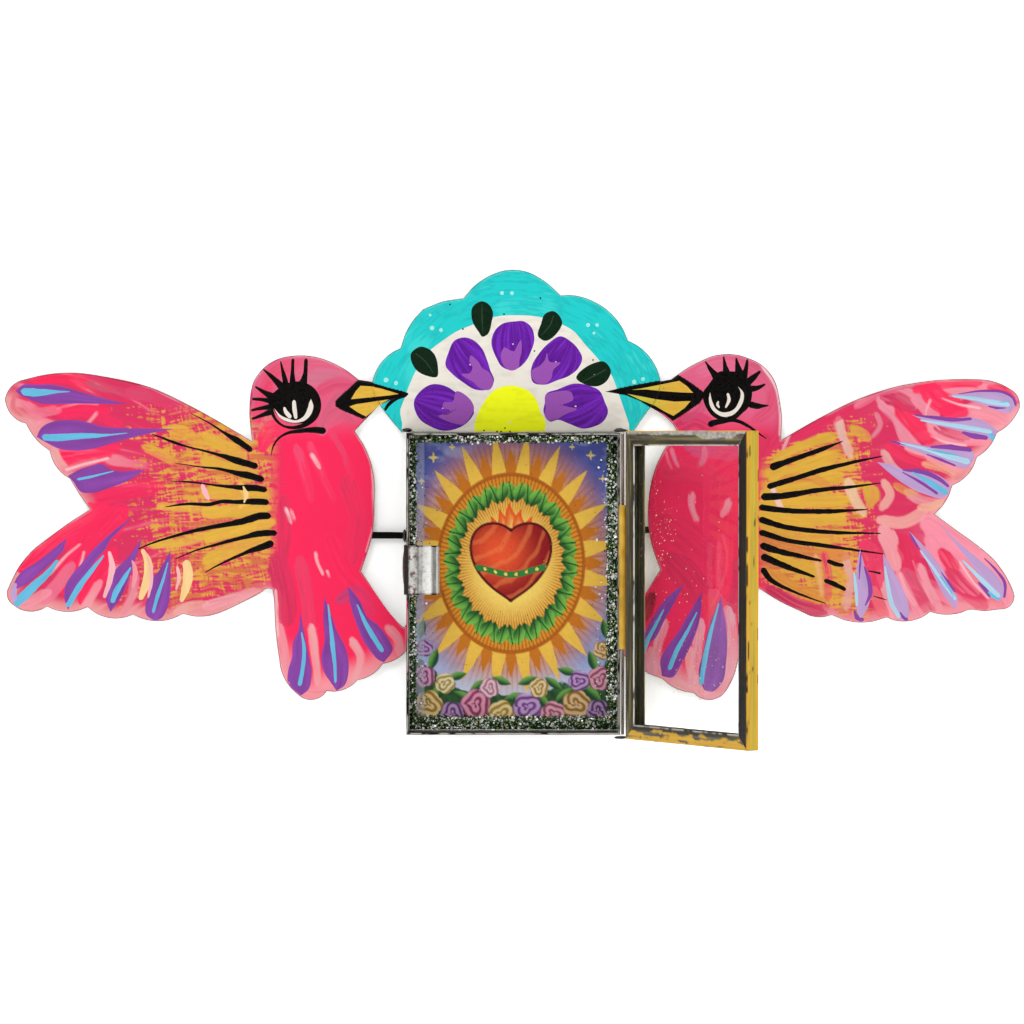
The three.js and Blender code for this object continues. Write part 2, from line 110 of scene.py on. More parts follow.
def paint(code):
    """Linear red, green and blue of a colour written as 0xRRGGBB."""
    parts = np.array([(code >> 16) & 255, (code >> 8) & 255, code & 255]) / 255
    return tuple(np.where(parts <= 0.04045, parts / 12.92, ((parts + 0.055) / 1.055) ** 2.4).tolist())


def ease(value, low, high):
    """Smoothstep: 0 at low, 1 at high and 3 t^2 - 2 t^3 between them."""
    t = np.clip((value - low) / (high - low), 0, 1)
    return t * t * (3 - 2 * t)


def mix(first, second, weight):
    """Colours first and second, mixed by a weight for each point."""
    first = np.asarray(first, float)
    return first + (np.asarray(second, float) - first) * np.asarray(weight)[..., None]


class Coats:
    """The colours of a surface's points, laid on in coats."""

    def __init__(self, ground):
        self.colours = ground

    def coat(self, colour, weight):
        """A coat with a weight for each point. Its colour is a code 0xRRGGBB, one colour, or one for each
        point."""
        colour = paint(colour) if isinstance(colour, int) else colour
        self.colours = mix(self.colours, colour, np.clip(weight, 0, 1))


def ripple(u, v, seed, octaves=1):
    """Smooth noise in 0..1: random numbers on a whole-number lattice joined by smoothstep weights. Each
    further octave has half the size and half the weight."""
    lattice = np.random.default_rng(seed).random((256, 256))
    total = np.zeros(np.broadcast(u, v).shape)
    for octave in range(octaves):
        uu = u * 2**octave + 31.7 * octave
        vv = v * 2**octave + 17.3 * octave
        i = np.floor(uu).astype(int)
        j = np.floor(vv).astype(int)
        s = ease(uu - i, 0, 1)
        t = ease(vv - j, 0, 1)
        low = lattice[i % 256, j % 256] * (1 - s) + lattice[(i + 1) % 256, j % 256] * s
        high = lattice[i % 256, (j + 1) % 256] * (1 - s) + lattice[(i + 1) % 256, (j + 1) % 256] * s
        total += (low * (1 - t) + high * t) / 2**octave
    return total / (2 - 2.0 ** (1 - octaves))


def bristles(px, py, direction, seed, fine=1.5, long=16):
    """Noise drawn out along a direction in degrees, as the hairs of a brush leave it."""
    angle = math.radians(direction)
    along = px * math.cos(angle) + py * math.sin(angle)
    across = py * math.cos(angle) - px * math.sin(angle)
    return ripple(along / long, across / fine, seed, 2)


def unit(vectors):
    """Vectors brought to length 1."""
    return vectors / np.linalg.norm(vectors, axis=1)[:, None]


def left_of(path):
    """For each point of a flat path, the direction square to the path."""
    tangent = unit(np.gradient(path, axis=0))
    return np.stack([-tangent[:, 1], tangent[:, 0]], axis=1)


def path_length(path):
    """The length of a path of straight spans."""
    return np.linalg.norm(np.diff(path, axis=0), axis=1).sum()


def hermite(start, leave, end, arrive, u):
    """Cubic spans from start to end, at u in 0..1, with the slopes that they leave and arrive with."""
    return (
        start * (2 * u**3 - 3 * u**2 + 1)
        + leave * (u**3 - 2 * u**2 + u)
        + end * (3 * u**2 - 2 * u**3)
        + arrive * (u**3 - u**2)
    )


def cut_spans(parts):
    """For spans cut into so many parts each: the span of every part, and where in its span the part starts
    (0..1)."""
    span = np.repeat(np.arange(len(parts)), parts)
    return span, ((np.arange(len(span)) - (np.cumsum(parts) - parts)[span]) / parts[span])[:, None]


def smooth_path(points, count, closed=False):
    """count points on a curve through points: cubic Hermite spans over the chord length, with each point's
    slope taken from its neighbours."""
    points = np.asarray(points, float)
    if closed:
        points = np.concatenate([points[-2:], points, points[:3]])
    t = np.concatenate([[0], np.cumsum(np.linalg.norm(np.diff(points, axis=0), axis=1))])
    slope = np.gradient(points, t, axis=0)
    first, last = (2, len(points) - 3) if closed else (0, len(points) - 1)
    s = np.linspace(t[first], t[last], count, endpoint=not closed)
    i = np.clip(np.searchsorted(t, s, side="right") - 1, 0, len(t) - 2)
    h = (t[i + 1] - t[i])[:, None]
    u = (s[:, None] - t[i][:, None]) / h
    return hermite(points[i], slope[i] * h, points[i + 1], slope[i + 1] * h, u)


def near_path(places, path):
    """For each place, the distance to a path of straight spans, how far along it the nearest point lies
    (0..1), and on which side of it the place is (-1 or 1)."""
    start, span = path[:-1], np.diff(path, axis=0)
    offset = places[:, None, :] - start
    t = np.clip((offset * span).sum(2) / np.maximum((span**2).sum(1), 1e-18), 0, 1)
    gap = np.linalg.norm(offset - t[..., None] * span, axis=2)
    nearest = gap.argmin(1)
    rows = np.arange(len(places))
    away, way = offset[rows, nearest], span[nearest]
    side = np.where(way[:, 0] * away[:, 1] > way[:, 1] * away[:, 0], 1, -1)
    return gap[rows, nearest], (nearest + t[rows, nearest]) / len(start), side


def inside(places, outline):
    """Whether each place lies inside a closed outline: a level line from it crosses the outline an odd
    number of times."""
    a, b = outline, np.roll(outline, -1, axis=0)
    level = places[:, 1:2]
    spans = (a[:, 1] <= level) != (b[:, 1] <= level)
    rise = np.where(a[:, 1] == b[:, 1], 1, b[:, 1] - a[:, 1])
    crossing = a[:, 0] + (level - a[:, 1]) / rise * (b[:, 0] - a[:, 0])
    return (spans & (crossing > places[:, 0:1])).sum(1) % 2 == 1


# Meshes

TIP = 0.02


def node_places(name):
    """The points of a CAD node's mesh."""
    mesh = frame["nodes"][name].data
    places = np.empty(len(mesh.vertices) * 3)
    mesh.vertices.foreach_get("co", places)
    return places.reshape(-1, 3)


def grid_faces(rows, columns, wrap_rows=False, wrap_columns=False):
    """Four-sided faces of a grid of rows x columns points, closed on itself where asked."""
    index = np.arange(rows * columns).reshape(rows, columns)
    if wrap_rows:
        index = np.concatenate([index, index[:1]])
    if wrap_columns:
        index = np.concatenate([index, index[:, :1]], axis=1)
    return np.stack([index[:-1, :-1], index[1:, :-1], index[1:, 1:], index[:-1, 1:]], axis=-1).reshape(-1, 4)


def end_caps(rows, columns):
    """The faces that close the first and the last ring of a grid that is closed across its columns."""
    ring = np.arange(columns)
    return np.stack([ring, ring[::-1] + (rows - 1) * columns])


def make_piece(name, places, faces, material, body, stands_for=(), colours=None, bare=None, crease=45):
    """One mesh object from arrays of places and of faces, coloured point by point, set on its body."""
    mesh = bpy.data.meshes.new(name)
    corners = [np.asarray(group, int) for group in faces]
    mesh.vertices.add(len(places))
    mesh.vertices.foreach_set("co", np.ascontiguousarray(places, float).ravel())
    sizes = np.concatenate([np.full(len(group), group.shape[1]) for group in corners])
    mesh.loops.add(int(sizes.sum()))
    mesh.loops.foreach_set("vertex_index", np.concatenate([group.ravel() for group in corners]))
    mesh.polygons.add(len(sizes))
    mesh.polygons.foreach_set("loop_start", np.concatenate([[0], np.cumsum(sizes)[:-1]]))
    mesh.polygons.foreach_set("loop_total", sizes)
    mesh.polygons.foreach_set("use_smooth", np.ones(len(sizes), bool))
    mesh.update(calc_edges=True)
    mesh.set_sharp_from_angle(angle=math.radians(crease))
    if colours is not None:
        layer = mesh.attributes.new("paint", "FLOAT_COLOR", "POINT")
        opaque = np.ones((len(places), 4))
        opaque[:, :3] = np.clip(colours, 0, 1)
        layer.data.foreach_set("color", opaque.ravel())
    if bare is not None:
        layer = mesh.attributes.new("bare", "FLOAT", "POINT")
        layer.data.foreach_set("value", np.asarray(bare, float))
    mesh.materials.append(material)
    piece = bpy.data.objects.new(name, mesh)
    bpy.context.scene.collection.objects.link(piece)
    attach(piece, body)
    if stands_for:
        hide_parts(*stands_for)
    return piece


class Gathered:
    """Arrays of several surfaces, joined into one piece."""

    def __init__(self):
        self.places, self.colours, self.faces, self.count = [], [], [], 0

    def add(self, places, colours, faces):
        """Adds a surface; its face numbers count from its own first point."""
        places = np.asarray(places, float).reshape(-1, 3)
        if np.ndim(colours) == 1:
            colours = np.broadcast_to(np.asarray(colours, float), places.shape)
        self.places.append(places)
        self.colours.append(np.asarray(colours).reshape(-1, 3))
        self.faces.append(np.asarray(faces) + self.count)
        self.count += len(places)

    def build(self, name, material, body, stands_for=(), crease=45):
        """The piece that holds everything added."""
        return make_piece(
            name, np.concatenate(self.places), self.faces, material, body, stands_for,
            colours=np.concatenate(self.colours), crease=crease,
        )


def tube(path, radius, sides):
    """Points and faces of a round bar along a path that runs across the viewer's sight: at each point a
    ring stands square to the path, and the end rings shrink to a closed tip."""
    tangent = unit(np.gradient(path, axis=0))
    side = unit(np.cross(tangent, (0, 1, 0)))
    other = np.cross(tangent, side)
    size = np.full(len(path), radius)
    path, side, other = (np.concatenate([part[:1], part, part[-1:]]) for part in (path, side, other))
    size = np.concatenate([[radius * TIP], size, [radius * TIP]])
    turn = np.linspace(0, 2 * np.pi, sides, endpoint=False)
    ring = np.cos(turn)[:, None] * side[:, None, :] + np.sin(turn)[:, None] * other[:, None, :]
    places = path[:, None, :] + ring * size[:, None, None]
    faces = grid_faces(len(path), sides, wrap_columns=True)
    return places.reshape(-1, 3), [faces, end_caps(len(path), sides)]


def lump(low, high, seed, rough=0.16, rows=18, sides=28):
    """A drop between two corners: a ball whose radius swells and sinks with smooth noise by the share
    rough."""
    fall = np.linspace(TIP, np.pi - TIP, rows)[:, None]
    turn = np.linspace(0, 2 * np.pi, sides, endpoint=False)[None, :]
    ball = np.stack(
        [np.sin(fall) * np.cos(turn), np.sin(fall) * np.sin(turn), np.cos(fall) * np.ones_like(turn)], axis=-1
    )
    noise = ripple(ball[..., 0] * 2.2 + 9, ball[..., 2] * 2.2 + ball[..., 1] * 1.7 + 9, seed, 3)
    swell = 1 + rough * (noise * 2 - 1.2)
    low, high = np.asarray(low), np.asarray(high)
    places = (low + high) / 2 + ball * swell[..., None] * (high - low) / 2
    faces = grid_faces(rows, sides, wrap_columns=True)
    return places.reshape(-1, 3), [faces[:, ::-1], end_caps(rows, sides)]


# Materials


def new_material(name):
    """An empty material with its Principled shader."""
    material = bpy.data.materials.new(name)
    material.use_nodes = True
    nodes = material.node_tree.nodes
    return material, nodes, material.node_tree.links, nodes["Principled BSDF"]


def node(nodes, kind, **settings):
    """A shader node with settings on it or, where it has no such setting, on its sockets."""
    made = nodes.new("ShaderNode" + kind)
    for key, value in settings.items():
        if hasattr(made, key):
            setattr(made, key, value)
        else:
            made.inputs[key.replace("_", " ")].default_value = value
    return made


def painted_material(name):
    """A material whose colour is the piece's own paint."""
    material, nodes, links, shader = new_material(name)
    colour = node(nodes, "Attribute", attribute_name="paint")
    links.new(colour.outputs["Color"], shader.inputs["Base Color"])
    return material, nodes, links, shader


def two_tones(nodes, links, shader, tone, dark, light):
    """Colours a shader between a dark and a light tone."""
    tint = node(nodes, "Mix", data_type="RGBA")
    tint.inputs["A"].default_value = (*dark, 1)
    tint.inputs["B"].default_value = (*light, 1)
    links.new(tone, tint.inputs["Factor"])
    links.new(tint.outputs["Result"], shader.inputs["Base Color"])


def mixed_surface(nodes, links, weight, first, second):
    """Makes the surface of two shaders, by the weight of the second."""
    both = node(nodes, "MixShader")
    links.new(weight, both.inputs["Fac"])
    links.new(first, both.inputs[1])
    links.new(second, both.inputs[2])
    links.new(both.outputs["Shader"], nodes["Material Output"].inputs["Surface"])


def maths(nodes, links, operation, first, second, use_clamp=False):
    """What a Math node makes of two values, each a number or a socket."""
    made = node(nodes, "Math", operation=operation, use_clamp=use_clamp)
    for socket, value in zip(made.inputs, (first, second)):
        if isinstance(value, bpy.types.NodeSocket):
            links.new(value, socket)
        else:
            socket.default_value = value
    return made.outputs["Value"]


def noise_ramp(nodes, links, scale, stretch, low, high, detail=4.0):
    """Object-space noise, stretched along the axes, ramped from low to high."""
    where = node(nodes, "TexCoord")
    place = node(nodes, "Mapping")
    place.inputs["Scale"].default_value = stretch
    links.new(where.outputs["Object"], place.inputs["Vector"])
    noise = node(nodes, "TexNoise", Scale=scale, Detail=detail)
    links.new(place.outputs["Vector"], noise.inputs["Vector"])
    ramp = node(nodes, "MapRange", From_Min=0.35, From_Max=0.65, To_Min=low, To_Max=high)
    links.new(noise.outputs["Fac"], ramp.inputs["Value"])
    return ramp.outputs["Result"]


def add_bump(nodes, links, shader, height, strength, distance):
    """Fine relief from a height."""
    bump = node(nodes, "Bump", Strength=strength, Distance=distance)
    links.new(height, bump.inputs["Height"])
    links.new(bump.outputs["Normal"], shader.inputs["Normal"])


def enamel(name, roughness=0.4, coat=0.04, relief=0.25):
    """Brushed enamel: the piece's own colours, with hair-fine brush relief under a thin gloss."""
    material, nodes, links, shader = painted_material(name)
    shader.inputs["Specular IOR Level"].default_value = 0.12
    shader.inputs["Coat Weight"].default_value = coat
    shader.inputs["Coat Roughness"].default_value = 0.12
    rough = noise_ramp(nodes, links, 900, (1, 1, 1), roughness - 0.08, roughness + 0.1)
    links.new(rough, shader.inputs["Roughness"])
    hairs = noise_ramp(nodes, links, 1500, (0.35, 1, 1.3), 0, 1, detail=2)
    add_bump(nodes, links, shader, hairs, relief, 0.00008)
    return material


def painted_sheet(name, roughness=0.4):
    """Enamel on the front of a tin sheet and rubbed bare tin on its back, by the piece's bare attribute."""
    material = enamel(name, roughness)
    nodes, links = material.node_tree.nodes, material.node_tree.links
    face = nodes["Principled BSDF"]
    tin = node(nodes, "BsdfPrincipled", Metallic=0.85, Roughness=0.42)
    tone = noise_ramp(nodes, links, 170, (0.16, 1, 1), 0.0, 1.0, detail=8)
    two_tones(nodes, links, tin, tone, paint(0x8C8A84), paint(0xBBB8B0))
    scratch = noise_ramp(nodes, links, 700, (0.08, 1, 1), 0, 1, detail=3)
    add_bump(nodes, links, tin, scratch, 0.2, 0.00005)
    bare = node(nodes, "Attribute", attribute_name="bare")
    mixed_surface(nodes, links, bare.outputs["Fac"], face.outputs["BSDF"], tin.outputs["BSDF"])
    return material


def metal(name, dark, light, scale, stretch, roughness=0.35, metallic=1.0, gloss=0.2):
    """Metal mottled between two tones, with streaks stretched along the axes."""
    material, nodes, links, shader = new_material(name)
    tone = noise_ramp(nodes, links, scale, stretch, 0.0, 1.0, detail=6)
    two_tones(nodes, links, shader, tone, dark, light)
    shader.inputs["Metallic"].default_value = metallic
    shader.inputs["Specular IOR Level"].default_value = gloss
    rough = noise_ramp(nodes, links, scale * 2.5, stretch, roughness - 0.1, roughness + 0.15)
    links.new(rough, shader.inputs["Roughness"])
    fine = noise_ramp(nodes, links, scale * 6, stretch, 0, 1, detail=3)
    add_bump(nodes, links, shader, fine, 0.3, 0.00006)
    return material


def coloured_metal(name, roughness=0.3, metallic=0.9, relief=0.3):
    """Metal that takes its tones from the piece's own colours."""
    material, nodes, links, shader = painted_material(name)
    shader.inputs["Metallic"].default_value = metallic
    rough = noise_ramp(nodes, links, 700, (1, 1, 0.3), roughness - 0.08, roughness + 0.14)
    links.new(rough, shader.inputs["Roughness"])
    fine = noise_ramp(nodes, links, 2200, (1, 1, 0.25), 0, 1, detail=3)
    add_bump(nodes, links, shader, fine, relief, 0.00006)
    return material


def pane_glass():
    """Thin window glass: it lets light straight through, and its outer faces mirror a little, more at a
    slant."""
    material, nodes, links, shader = new_material("window_glass")
    nodes.remove(shader)
    clear = node(nodes, "BsdfTransparent", Color=(0.965, 0.975, 0.97, 1))
    gloss = node(nodes, "BsdfGlossy", Roughness=0.02, Color=(1, 1, 1, 1))
    slant = node(nodes, "Fresnel", IOR=1.28)
    smear = noise_ramp(nodes, links, 45, (1, 1, 0.3), 0.0, 0.012)
    side = node(nodes, "NewGeometry")
    front = maths(nodes, links, "SUBTRACT", 1, side.outputs["Backfacing"], use_clamp=True)
    sheen = maths(nodes, links, "ADD", slant.outputs["Fac"], smear)
    total = maths(nodes, links, "MULTIPLY", sheen, front, use_clamp=True)
    mixed_surface(nodes, links, total, clear.outputs["BSDF"], gloss.outputs["BSDF"])
    return material


# Sheet metal

CORNER = 25
EDGE = 0.09 * MM
RIM_BEND = 0.16 * MM
RIM_REACH = 1.3 * MM
WAVE = 0.05 * MM
WAVE_LENGTH = 19 * MM
BACK_STEP = 3 * MM
FILM = 0.07 * MM
FILM_SINK = 0.03 * MM
CHUNK = 4096


def in_chunks(work, places, *rest):
    """The results of work on places, a few thousand at a time to save memory."""
    parts = [work(places[start : start + CHUNK], *rest) for start in range(0, len(places), CHUNK)]
    return np.concatenate(parts)


def rim_gap(places, outline):
    """The distance from each place to a closed outline."""
    closed = np.concatenate([outline, outline[:1]])
    return in_chunks(lambda some: near_path(some, closed)[0], places)


def front_rim(name):
    """The outline (x, z) of a CAD sheet's front face, anticlockwise as the viewer sees it: the edges that
    only one of the triangles on the lowest y has, set end to end by doubling how far each point's jump
    reaches."""
    mesh = frame["nodes"][name].data
    keys, merged = np.unique(np.round(node_places(name) * 1e6).astype(int), axis=0, return_inverse=True)
    mesh.calc_loop_triangles()
    corners = np.empty(len(mesh.loop_triangles) * 3, int)
    mesh.loop_triangles.foreach_get("vertices", corners)
    faces = merged.ravel()[corners].reshape(-1, 3)
    faces = faces[(keys[:, 1] == keys[:, 1].min())[faces].all(1)]
    edges = np.concatenate([faces[:, [0, 1]], faces[:, [1, 2]], faces[:, [2, 0]]])
    code, opposite = edges @ (len(keys), 1), edges @ (1, len(keys))
    rim = edges[~np.isin(code, opposite)]
    jump = np.zeros(len(keys), int)
    jump[rim[:, 0]] = rim[:, 1]
    order = rim[:1, 0]
    while len(order) < len(rim):
        order = np.concatenate([order, jump[order]])
        jump = jump[jump]
    return keys[order[: len(rim)]][:, [0, 2]] * 1e-6


def refined(rim, step):
    """Points at most step apart along a closed outline: cubic Hermite spans that run along their
    neighbours' directions, and straight into corners of more than CORNER degrees."""
    chord = np.roll(rim, -1, axis=0) - rim
    length = np.linalg.norm(chord, axis=1)[:, None]
    heading = chord / length
    before = np.roll(heading, 1, axis=0)
    corner = ((heading * before).sum(1) < math.cos(math.radians(CORNER)))[:, None]
    along = unit(heading + before)
    leave = np.where(corner, heading, along) * length
    arrive = np.where(np.roll(corner, -1), heading, np.roll(along, -1, axis=0)) * length
    parts = np.ceil(length[:, 0] / step).astype(int)
    i, u = cut_spans(parts)
    return hermite(rim[i], leave[i], (rim + chord)[i], arrive[i], u)


def fill(ring, step):
    """Points and triangles that fill a closed ring: a square lattice of the given step, joined to the ring
    by Delaunay triangles."""
    low, high = ring.min(0), ring.max(0)
    across = np.arange(low[0] + step / 2, high[0], step)
    rise = np.arange(low[1] + step / 2, high[1], step)
    lattice = np.stack(np.meshgrid(across, rise), axis=-1).reshape(-1, 2)
    coarse = ring[:: max(1, len(ring) // 400)]
    lattice = lattice[in_chunks(inside, lattice, coarse)]
    lattice = lattice[in_chunks(inside, lattice, ring) & (rim_gap(lattice, ring) > 0.4 * step)]
    points = np.concatenate([ring, lattice])
    vectors = [Vector(point) for point in (points / MM).tolist()]
    made = delaunay_2d_cdt(vectors, [], [range(len(ring))], 1, 1e-5)
    source = np.array([origins[0] for origins in made[3]])
    faces = source[np.array(made[2])]
    a, b, c = (points[faces[:, k]] for k in range(3))
    turned = (b[:, 0] - a[:, 0]) * (c[:, 1] - a[:, 1]) < (c[:, 0] - a[:, 0]) * (b[:, 1] - a[:, 1])
    faces[turned] = faces[turned][:, ::-1]
    return points, faces


class Sheet:
    """A flat CAD sheet of tin, made again with snipped, slightly bent edges and gentle waves."""

    def __init__(self, name, seed):
        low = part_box(name)[0]
        self.name, self.seed = name, seed
        self.front, self.back = low.y, low.y + TIN
        self.rim = front_rim(name)

    def relief(self, places):
        """How far towards the wall the sheet lies from its flat place: it bends back over the last
        RIM_REACH before its rim, and waves gently."""
        bend = RIM_BEND * (1 - ease(rim_gap(places, self.rim), 0, RIM_REACH)) ** 2
        u, v = places[:, 0] / WAVE_LENGTH, places[:, 1] / WAVE_LENGTH
        return bend + WAVE * (1 - 2 * ripple(u + 40, v + 40, self.seed, 2))

    def surfaces(self, step):
        """Front and back lattices, with a snipped edge between them that stands out a little at half
        depth."""
        ring = refined(self.rim, step)
        following = np.roll(ring, -1, axis=0) - np.roll(ring, 1, axis=0)
        outward = np.stack([following[:, 1], -following[:, 0]], axis=1)
        ridge = ring + unit(outward) * EDGE
        front, front_faces = fill(ring, step)
        back, back_faces = fill(ring, BACK_STEP)
        flat = np.concatenate([front, ridge, back])
        counts = [len(front), len(ring), len(back)]
        depth = np.repeat([self.front, (self.front + self.back) / 2, self.back], counts)
        places = np.stack([flat[:, 0], depth + self.relief(flat), flat[:, 1]], axis=1)
        edge = np.arange(len(ring))
        rows = np.stack([edge, edge + len(front), edge + len(front) + len(ring)])
        walls = rows.ravel()[grid_faces(3, len(ring), wrap_columns=True)]
        bare = np.repeat([0.0, 0.6, 1.0], counts)
        return places, [front_faces, back_faces[:, ::-1] + len(front) + len(ring), walls], bare

    def film(self, gathered, pixels, height, colours, faces):
        """Adds a film of paint to what is gathered: its points are given in the photograph's pixels and
        lifted off the painted front by height, and what would hang over the sheet's rim is left out."""
        flat = on_plane(pixels, self.front).reshape(-1, 2)
        y = self.front + self.relief(flat) - np.ravel(height)
        faces = faces[in_chunks(inside, flat, self.rim)[faces].all(1)]
        used, faces = np.unique(faces, return_inverse=True)
        colours = np.broadcast_to(np.asarray(colours, float), (len(flat), 3))
        places = np.stack([flat[:, 0], y, flat[:, 1]], axis=1)
        gathered.add(places[used], colours[used], faces.reshape(-1, 4))


# Paint


FAR_PIXEL = PIXEL * 1.01
RIM_HIGHLIGHT = 0.7
LINE_ROWS = 7
SHAPE_ROWS = 9


class Canvas(Coats):
    """A sheet's colours, laid on by each point's place in the photograph and by how many pixels it lies
    from the sheet's rim."""

    def __init__(self, sheet, places, ground, seed):
        super().__init__(np.tile(np.asarray(ground, float), (len(places), 1)))
        self.px, self.py = to_pixels(places[:, 0], places[:, 1], places[:, 2])
        self.spots = np.stack([self.px, self.py], axis=1)
        self.rim = rim_gap(places[:, [0, 2]], sheet.rim) / FAR_PIXEL
        self.ground = ground
        self.seed = seed

    def stroke(self, code, width, dry, path):
        """A brush stroke of the colour code along a path: it covers what lies within half its width, frays
        by hair-fine noise drawn along the path, and shows the ground between its hairs as it is drier."""
        self.seed += 1
        path = smooth_path(path, 6 * len(path))
        reach = width * 0.5 + 3
        near = ((self.spots > path.min(0) - reach) & (self.spots < path.max(0) + reach)).all(1)
        if not near.any():
            return
        gap, along, side = near_path(self.spots[near], path)
        length = path_length(path)
        hair = ripple(along * length / 26 + self.seed, side * gap / 1.7 + 50, self.seed, 2)
        ahead = (1 - along) * length * (1.2 - 0.5 * dry) + 0.2 * width
        ends = np.minimum(along * length + 0.25 * width, ahead)
        half = width / 2 * np.clip(ends / (0.6 * width), 0, 1) ** 0.5
        cover = ease(half - gap + (hair - 0.5) * (2 + 4 * dry), -1.0, 1.0)
        cover *= 1 - dry * ease(hair + 0.35 * along, 0.45, 0.75)
        colour = np.asarray(paint(code)) * (0.86 + 0.28 * hair[:, None])
        self.colours[near] = mix(self.colours[near], colour, cover)


def film_profile(count):
    """Places across a film from -1 to 1, closer near its edges, and the film's height at each: it stands
    FILM proud and sinks into the sheet at its edges."""
    across = np.sin(np.linspace(-np.pi / 2, np.pi / 2, count))
    height = FILM * (1 - across**6) - FILM_SINK * across**6
    return across, height


def brush_line(gathered, sheet, colour, path, halves, lift=1.0):
    """A painted line: a film along a smooth path whose half width follows the list halves, rounded at both
    ends."""
    path = np.asarray(path, float)
    count = int(8 + path_length(path) / 1.6)
    middle = smooth_path(path, count)
    t = np.linspace(0, 1, count)
    half = np.interp(t, np.linspace(0, 1, len(halves)), halves)
    length = path_length(middle)
    tip = np.minimum(t * length / half[0], (1 - t) * length / half[-1])
    half = half * np.sqrt(1 - (1 - np.clip(tip, 0.02, 1)) ** 2)
    across, height = film_profile(LINE_ROWS)
    noise = ripple(t * length / 5 + path[0, 0], across[:, None] * 2 + 60, int(path[0, 1]), 2)
    ragged = 1 + 0.14 * (noise * 2 - 1)
    pixels = middle + left_of(middle) * half[:, None] * (across[:, None] * ragged)[..., None]
    height = np.broadcast_to(height[:, None] * lift, pixels.shape[:2])
    tone = 0.9 + 0.2 * ripple(across[:, None] * 3 + 9, t * length / 20 + path[0, 0], 5)
    colours = np.asarray(colour) * tone.reshape(-1, 1)
    sheet.film(gathered, pixels, height, colours, grid_faces(*pixels.shape[:2])[:, ::-1])


def blob(gathered, sheet, outline, colour, lift=1.0, step=1.1, smooth=True):
    """A painted patch: a film whose rings grow from its middle to a closed outline; colour is a function of
    px, py or one colour."""
    outline = np.asarray(outline, float)
    count = max(24, int(np.linalg.norm(np.roll(outline, 1, axis=0) - outline, axis=1).sum() / step))
    edge = smooth_path(outline, count, closed=True) if smooth else densify(outline, step)
    centre = edge.mean(0)
    rings = max(6, int(np.linalg.norm(edge - centre, axis=1).max() / step))
    t = np.sin(np.linspace(0.02, 1, rings) * np.pi / 2)[:, None]
    pixels = centre + (edge - centre) * t[..., None]
    height = lift * (FILM * (1 - t**30) - FILM_SINK * t**30) * np.ones(len(edge))
    px, py = pixels[..., 0].ravel(), pixels[..., 1].ravel()
    colours = colour(px, py) if callable(colour) else np.tile(np.asarray(colour, float), (len(px), 1))
    area = (edge[:, 0] * np.roll(edge[:, 1], -1) - np.roll(edge[:, 0], -1) * edge[:, 1]).sum()
    faces = grid_faces(len(t), len(edge), wrap_columns=True)
    faces = faces[:, ::-1] if area < 0 else faces
    sheet.film(gathered, pixels, height, colours, faces)


def densify(outline, step):
    """A closed outline of straight sides, with points about step apart."""
    length = np.linalg.norm(np.roll(outline, -1, axis=0) - outline, axis=1)
    parts = np.maximum(1, np.round(length / step)).astype(int)
    i, u = cut_spans(parts)
    return outline[i] + (np.roll(outline, -1, axis=0) - outline)[i] * u


def between(gathered, sheet, first, second, colour, lift=1.0):
    """A painted shape: a film between two edges that run the same way; colour is one colour or a function
    of how far along and across a point lies, each 0..1."""
    length = max(path_length(np.asarray(edge, float)) for edge in (first, second))
    count = int(8 + length / 1.4)
    a, b = smooth_path(first, count), smooth_path(second, count)
    across, height = film_profile(SHAPE_ROWS)
    s = (across[:, None] + 1) / 2
    pixels = a + (b - a) * s[..., None]
    t = np.broadcast_to(np.linspace(0, 1, count), pixels.shape[:2])
    height = np.broadcast_to(height[:, None] * lift, pixels.shape[:2])
    if callable(colour):
        s = np.broadcast_to(s, t.shape).ravel()
        colours = colour(t.ravel(), s, pixels[..., 0].ravel(), pixels[..., 1].ravel())
    else:
        colours = np.asarray(colour, float)
    middle = count // 2
    over = (b[middle] - a[middle])[1] * (a[middle + 1] - a[middle])[0]
    turn = over - (b[middle] - a[middle])[0] * (a[middle + 1] - a[middle])[1]
    faces = grid_faces(*pixels.shape[:2])
    sheet.film(gathered, pixels, height, colours, faces[:, ::-1] if turn > 0 else faces)


# Colours of the paints

INK = paint(0x060403)
SKY = paint(0x62B4D6)
PALE_SKY = paint(0xA8CCE0)
LILAC = paint(0xB99AC8)
OCHRE = paint(0xDBA83A)
ORANGE = paint(0xCC7440)
CRIMSON = paint(0xD42E5A)
BLUSH = paint(0xE8909C)
PALE_BLUSH = paint(0xF0B0B6)
PEACH = paint(0xEFC88C)
BONE = paint(0xE4DAD0)
BEAK_YELLOW = paint(0xDDB03F)
BEAK_GREEN = paint(0xC9C244)
WEAVE = (11.0, 1.5)
INK_SWELL = 1.15


def streaked(colour, dark=0.7, light=1.3, lines=9):
    """A teardrop's colour: its own, in lengthwise brush streaks from dark to light."""

    def tone(t, s, px, py):
        hair = ripple(s * lines + px[0] / 7, t * 3 + py[0] / 9, 71, 2)
        return np.asarray(colour) * (dark + (light - dark) * hair)[:, None]

    return tone


def woven(px, py, seed):
    """Noise in short level dashes crossed by short upright ones, as a dry brush leaves it on both
    strokes."""
    long, fine = WEAVE
    sway = 6 * ripple(px / 26, py / 26, seed + 2, 2)
    level = bristles(px, py + sway, -7, seed, fine, long)
    upright = bristles(px + sway, py, 82, seed + 1, fine, long)
    return 0.62 * level + 0.38 * upright


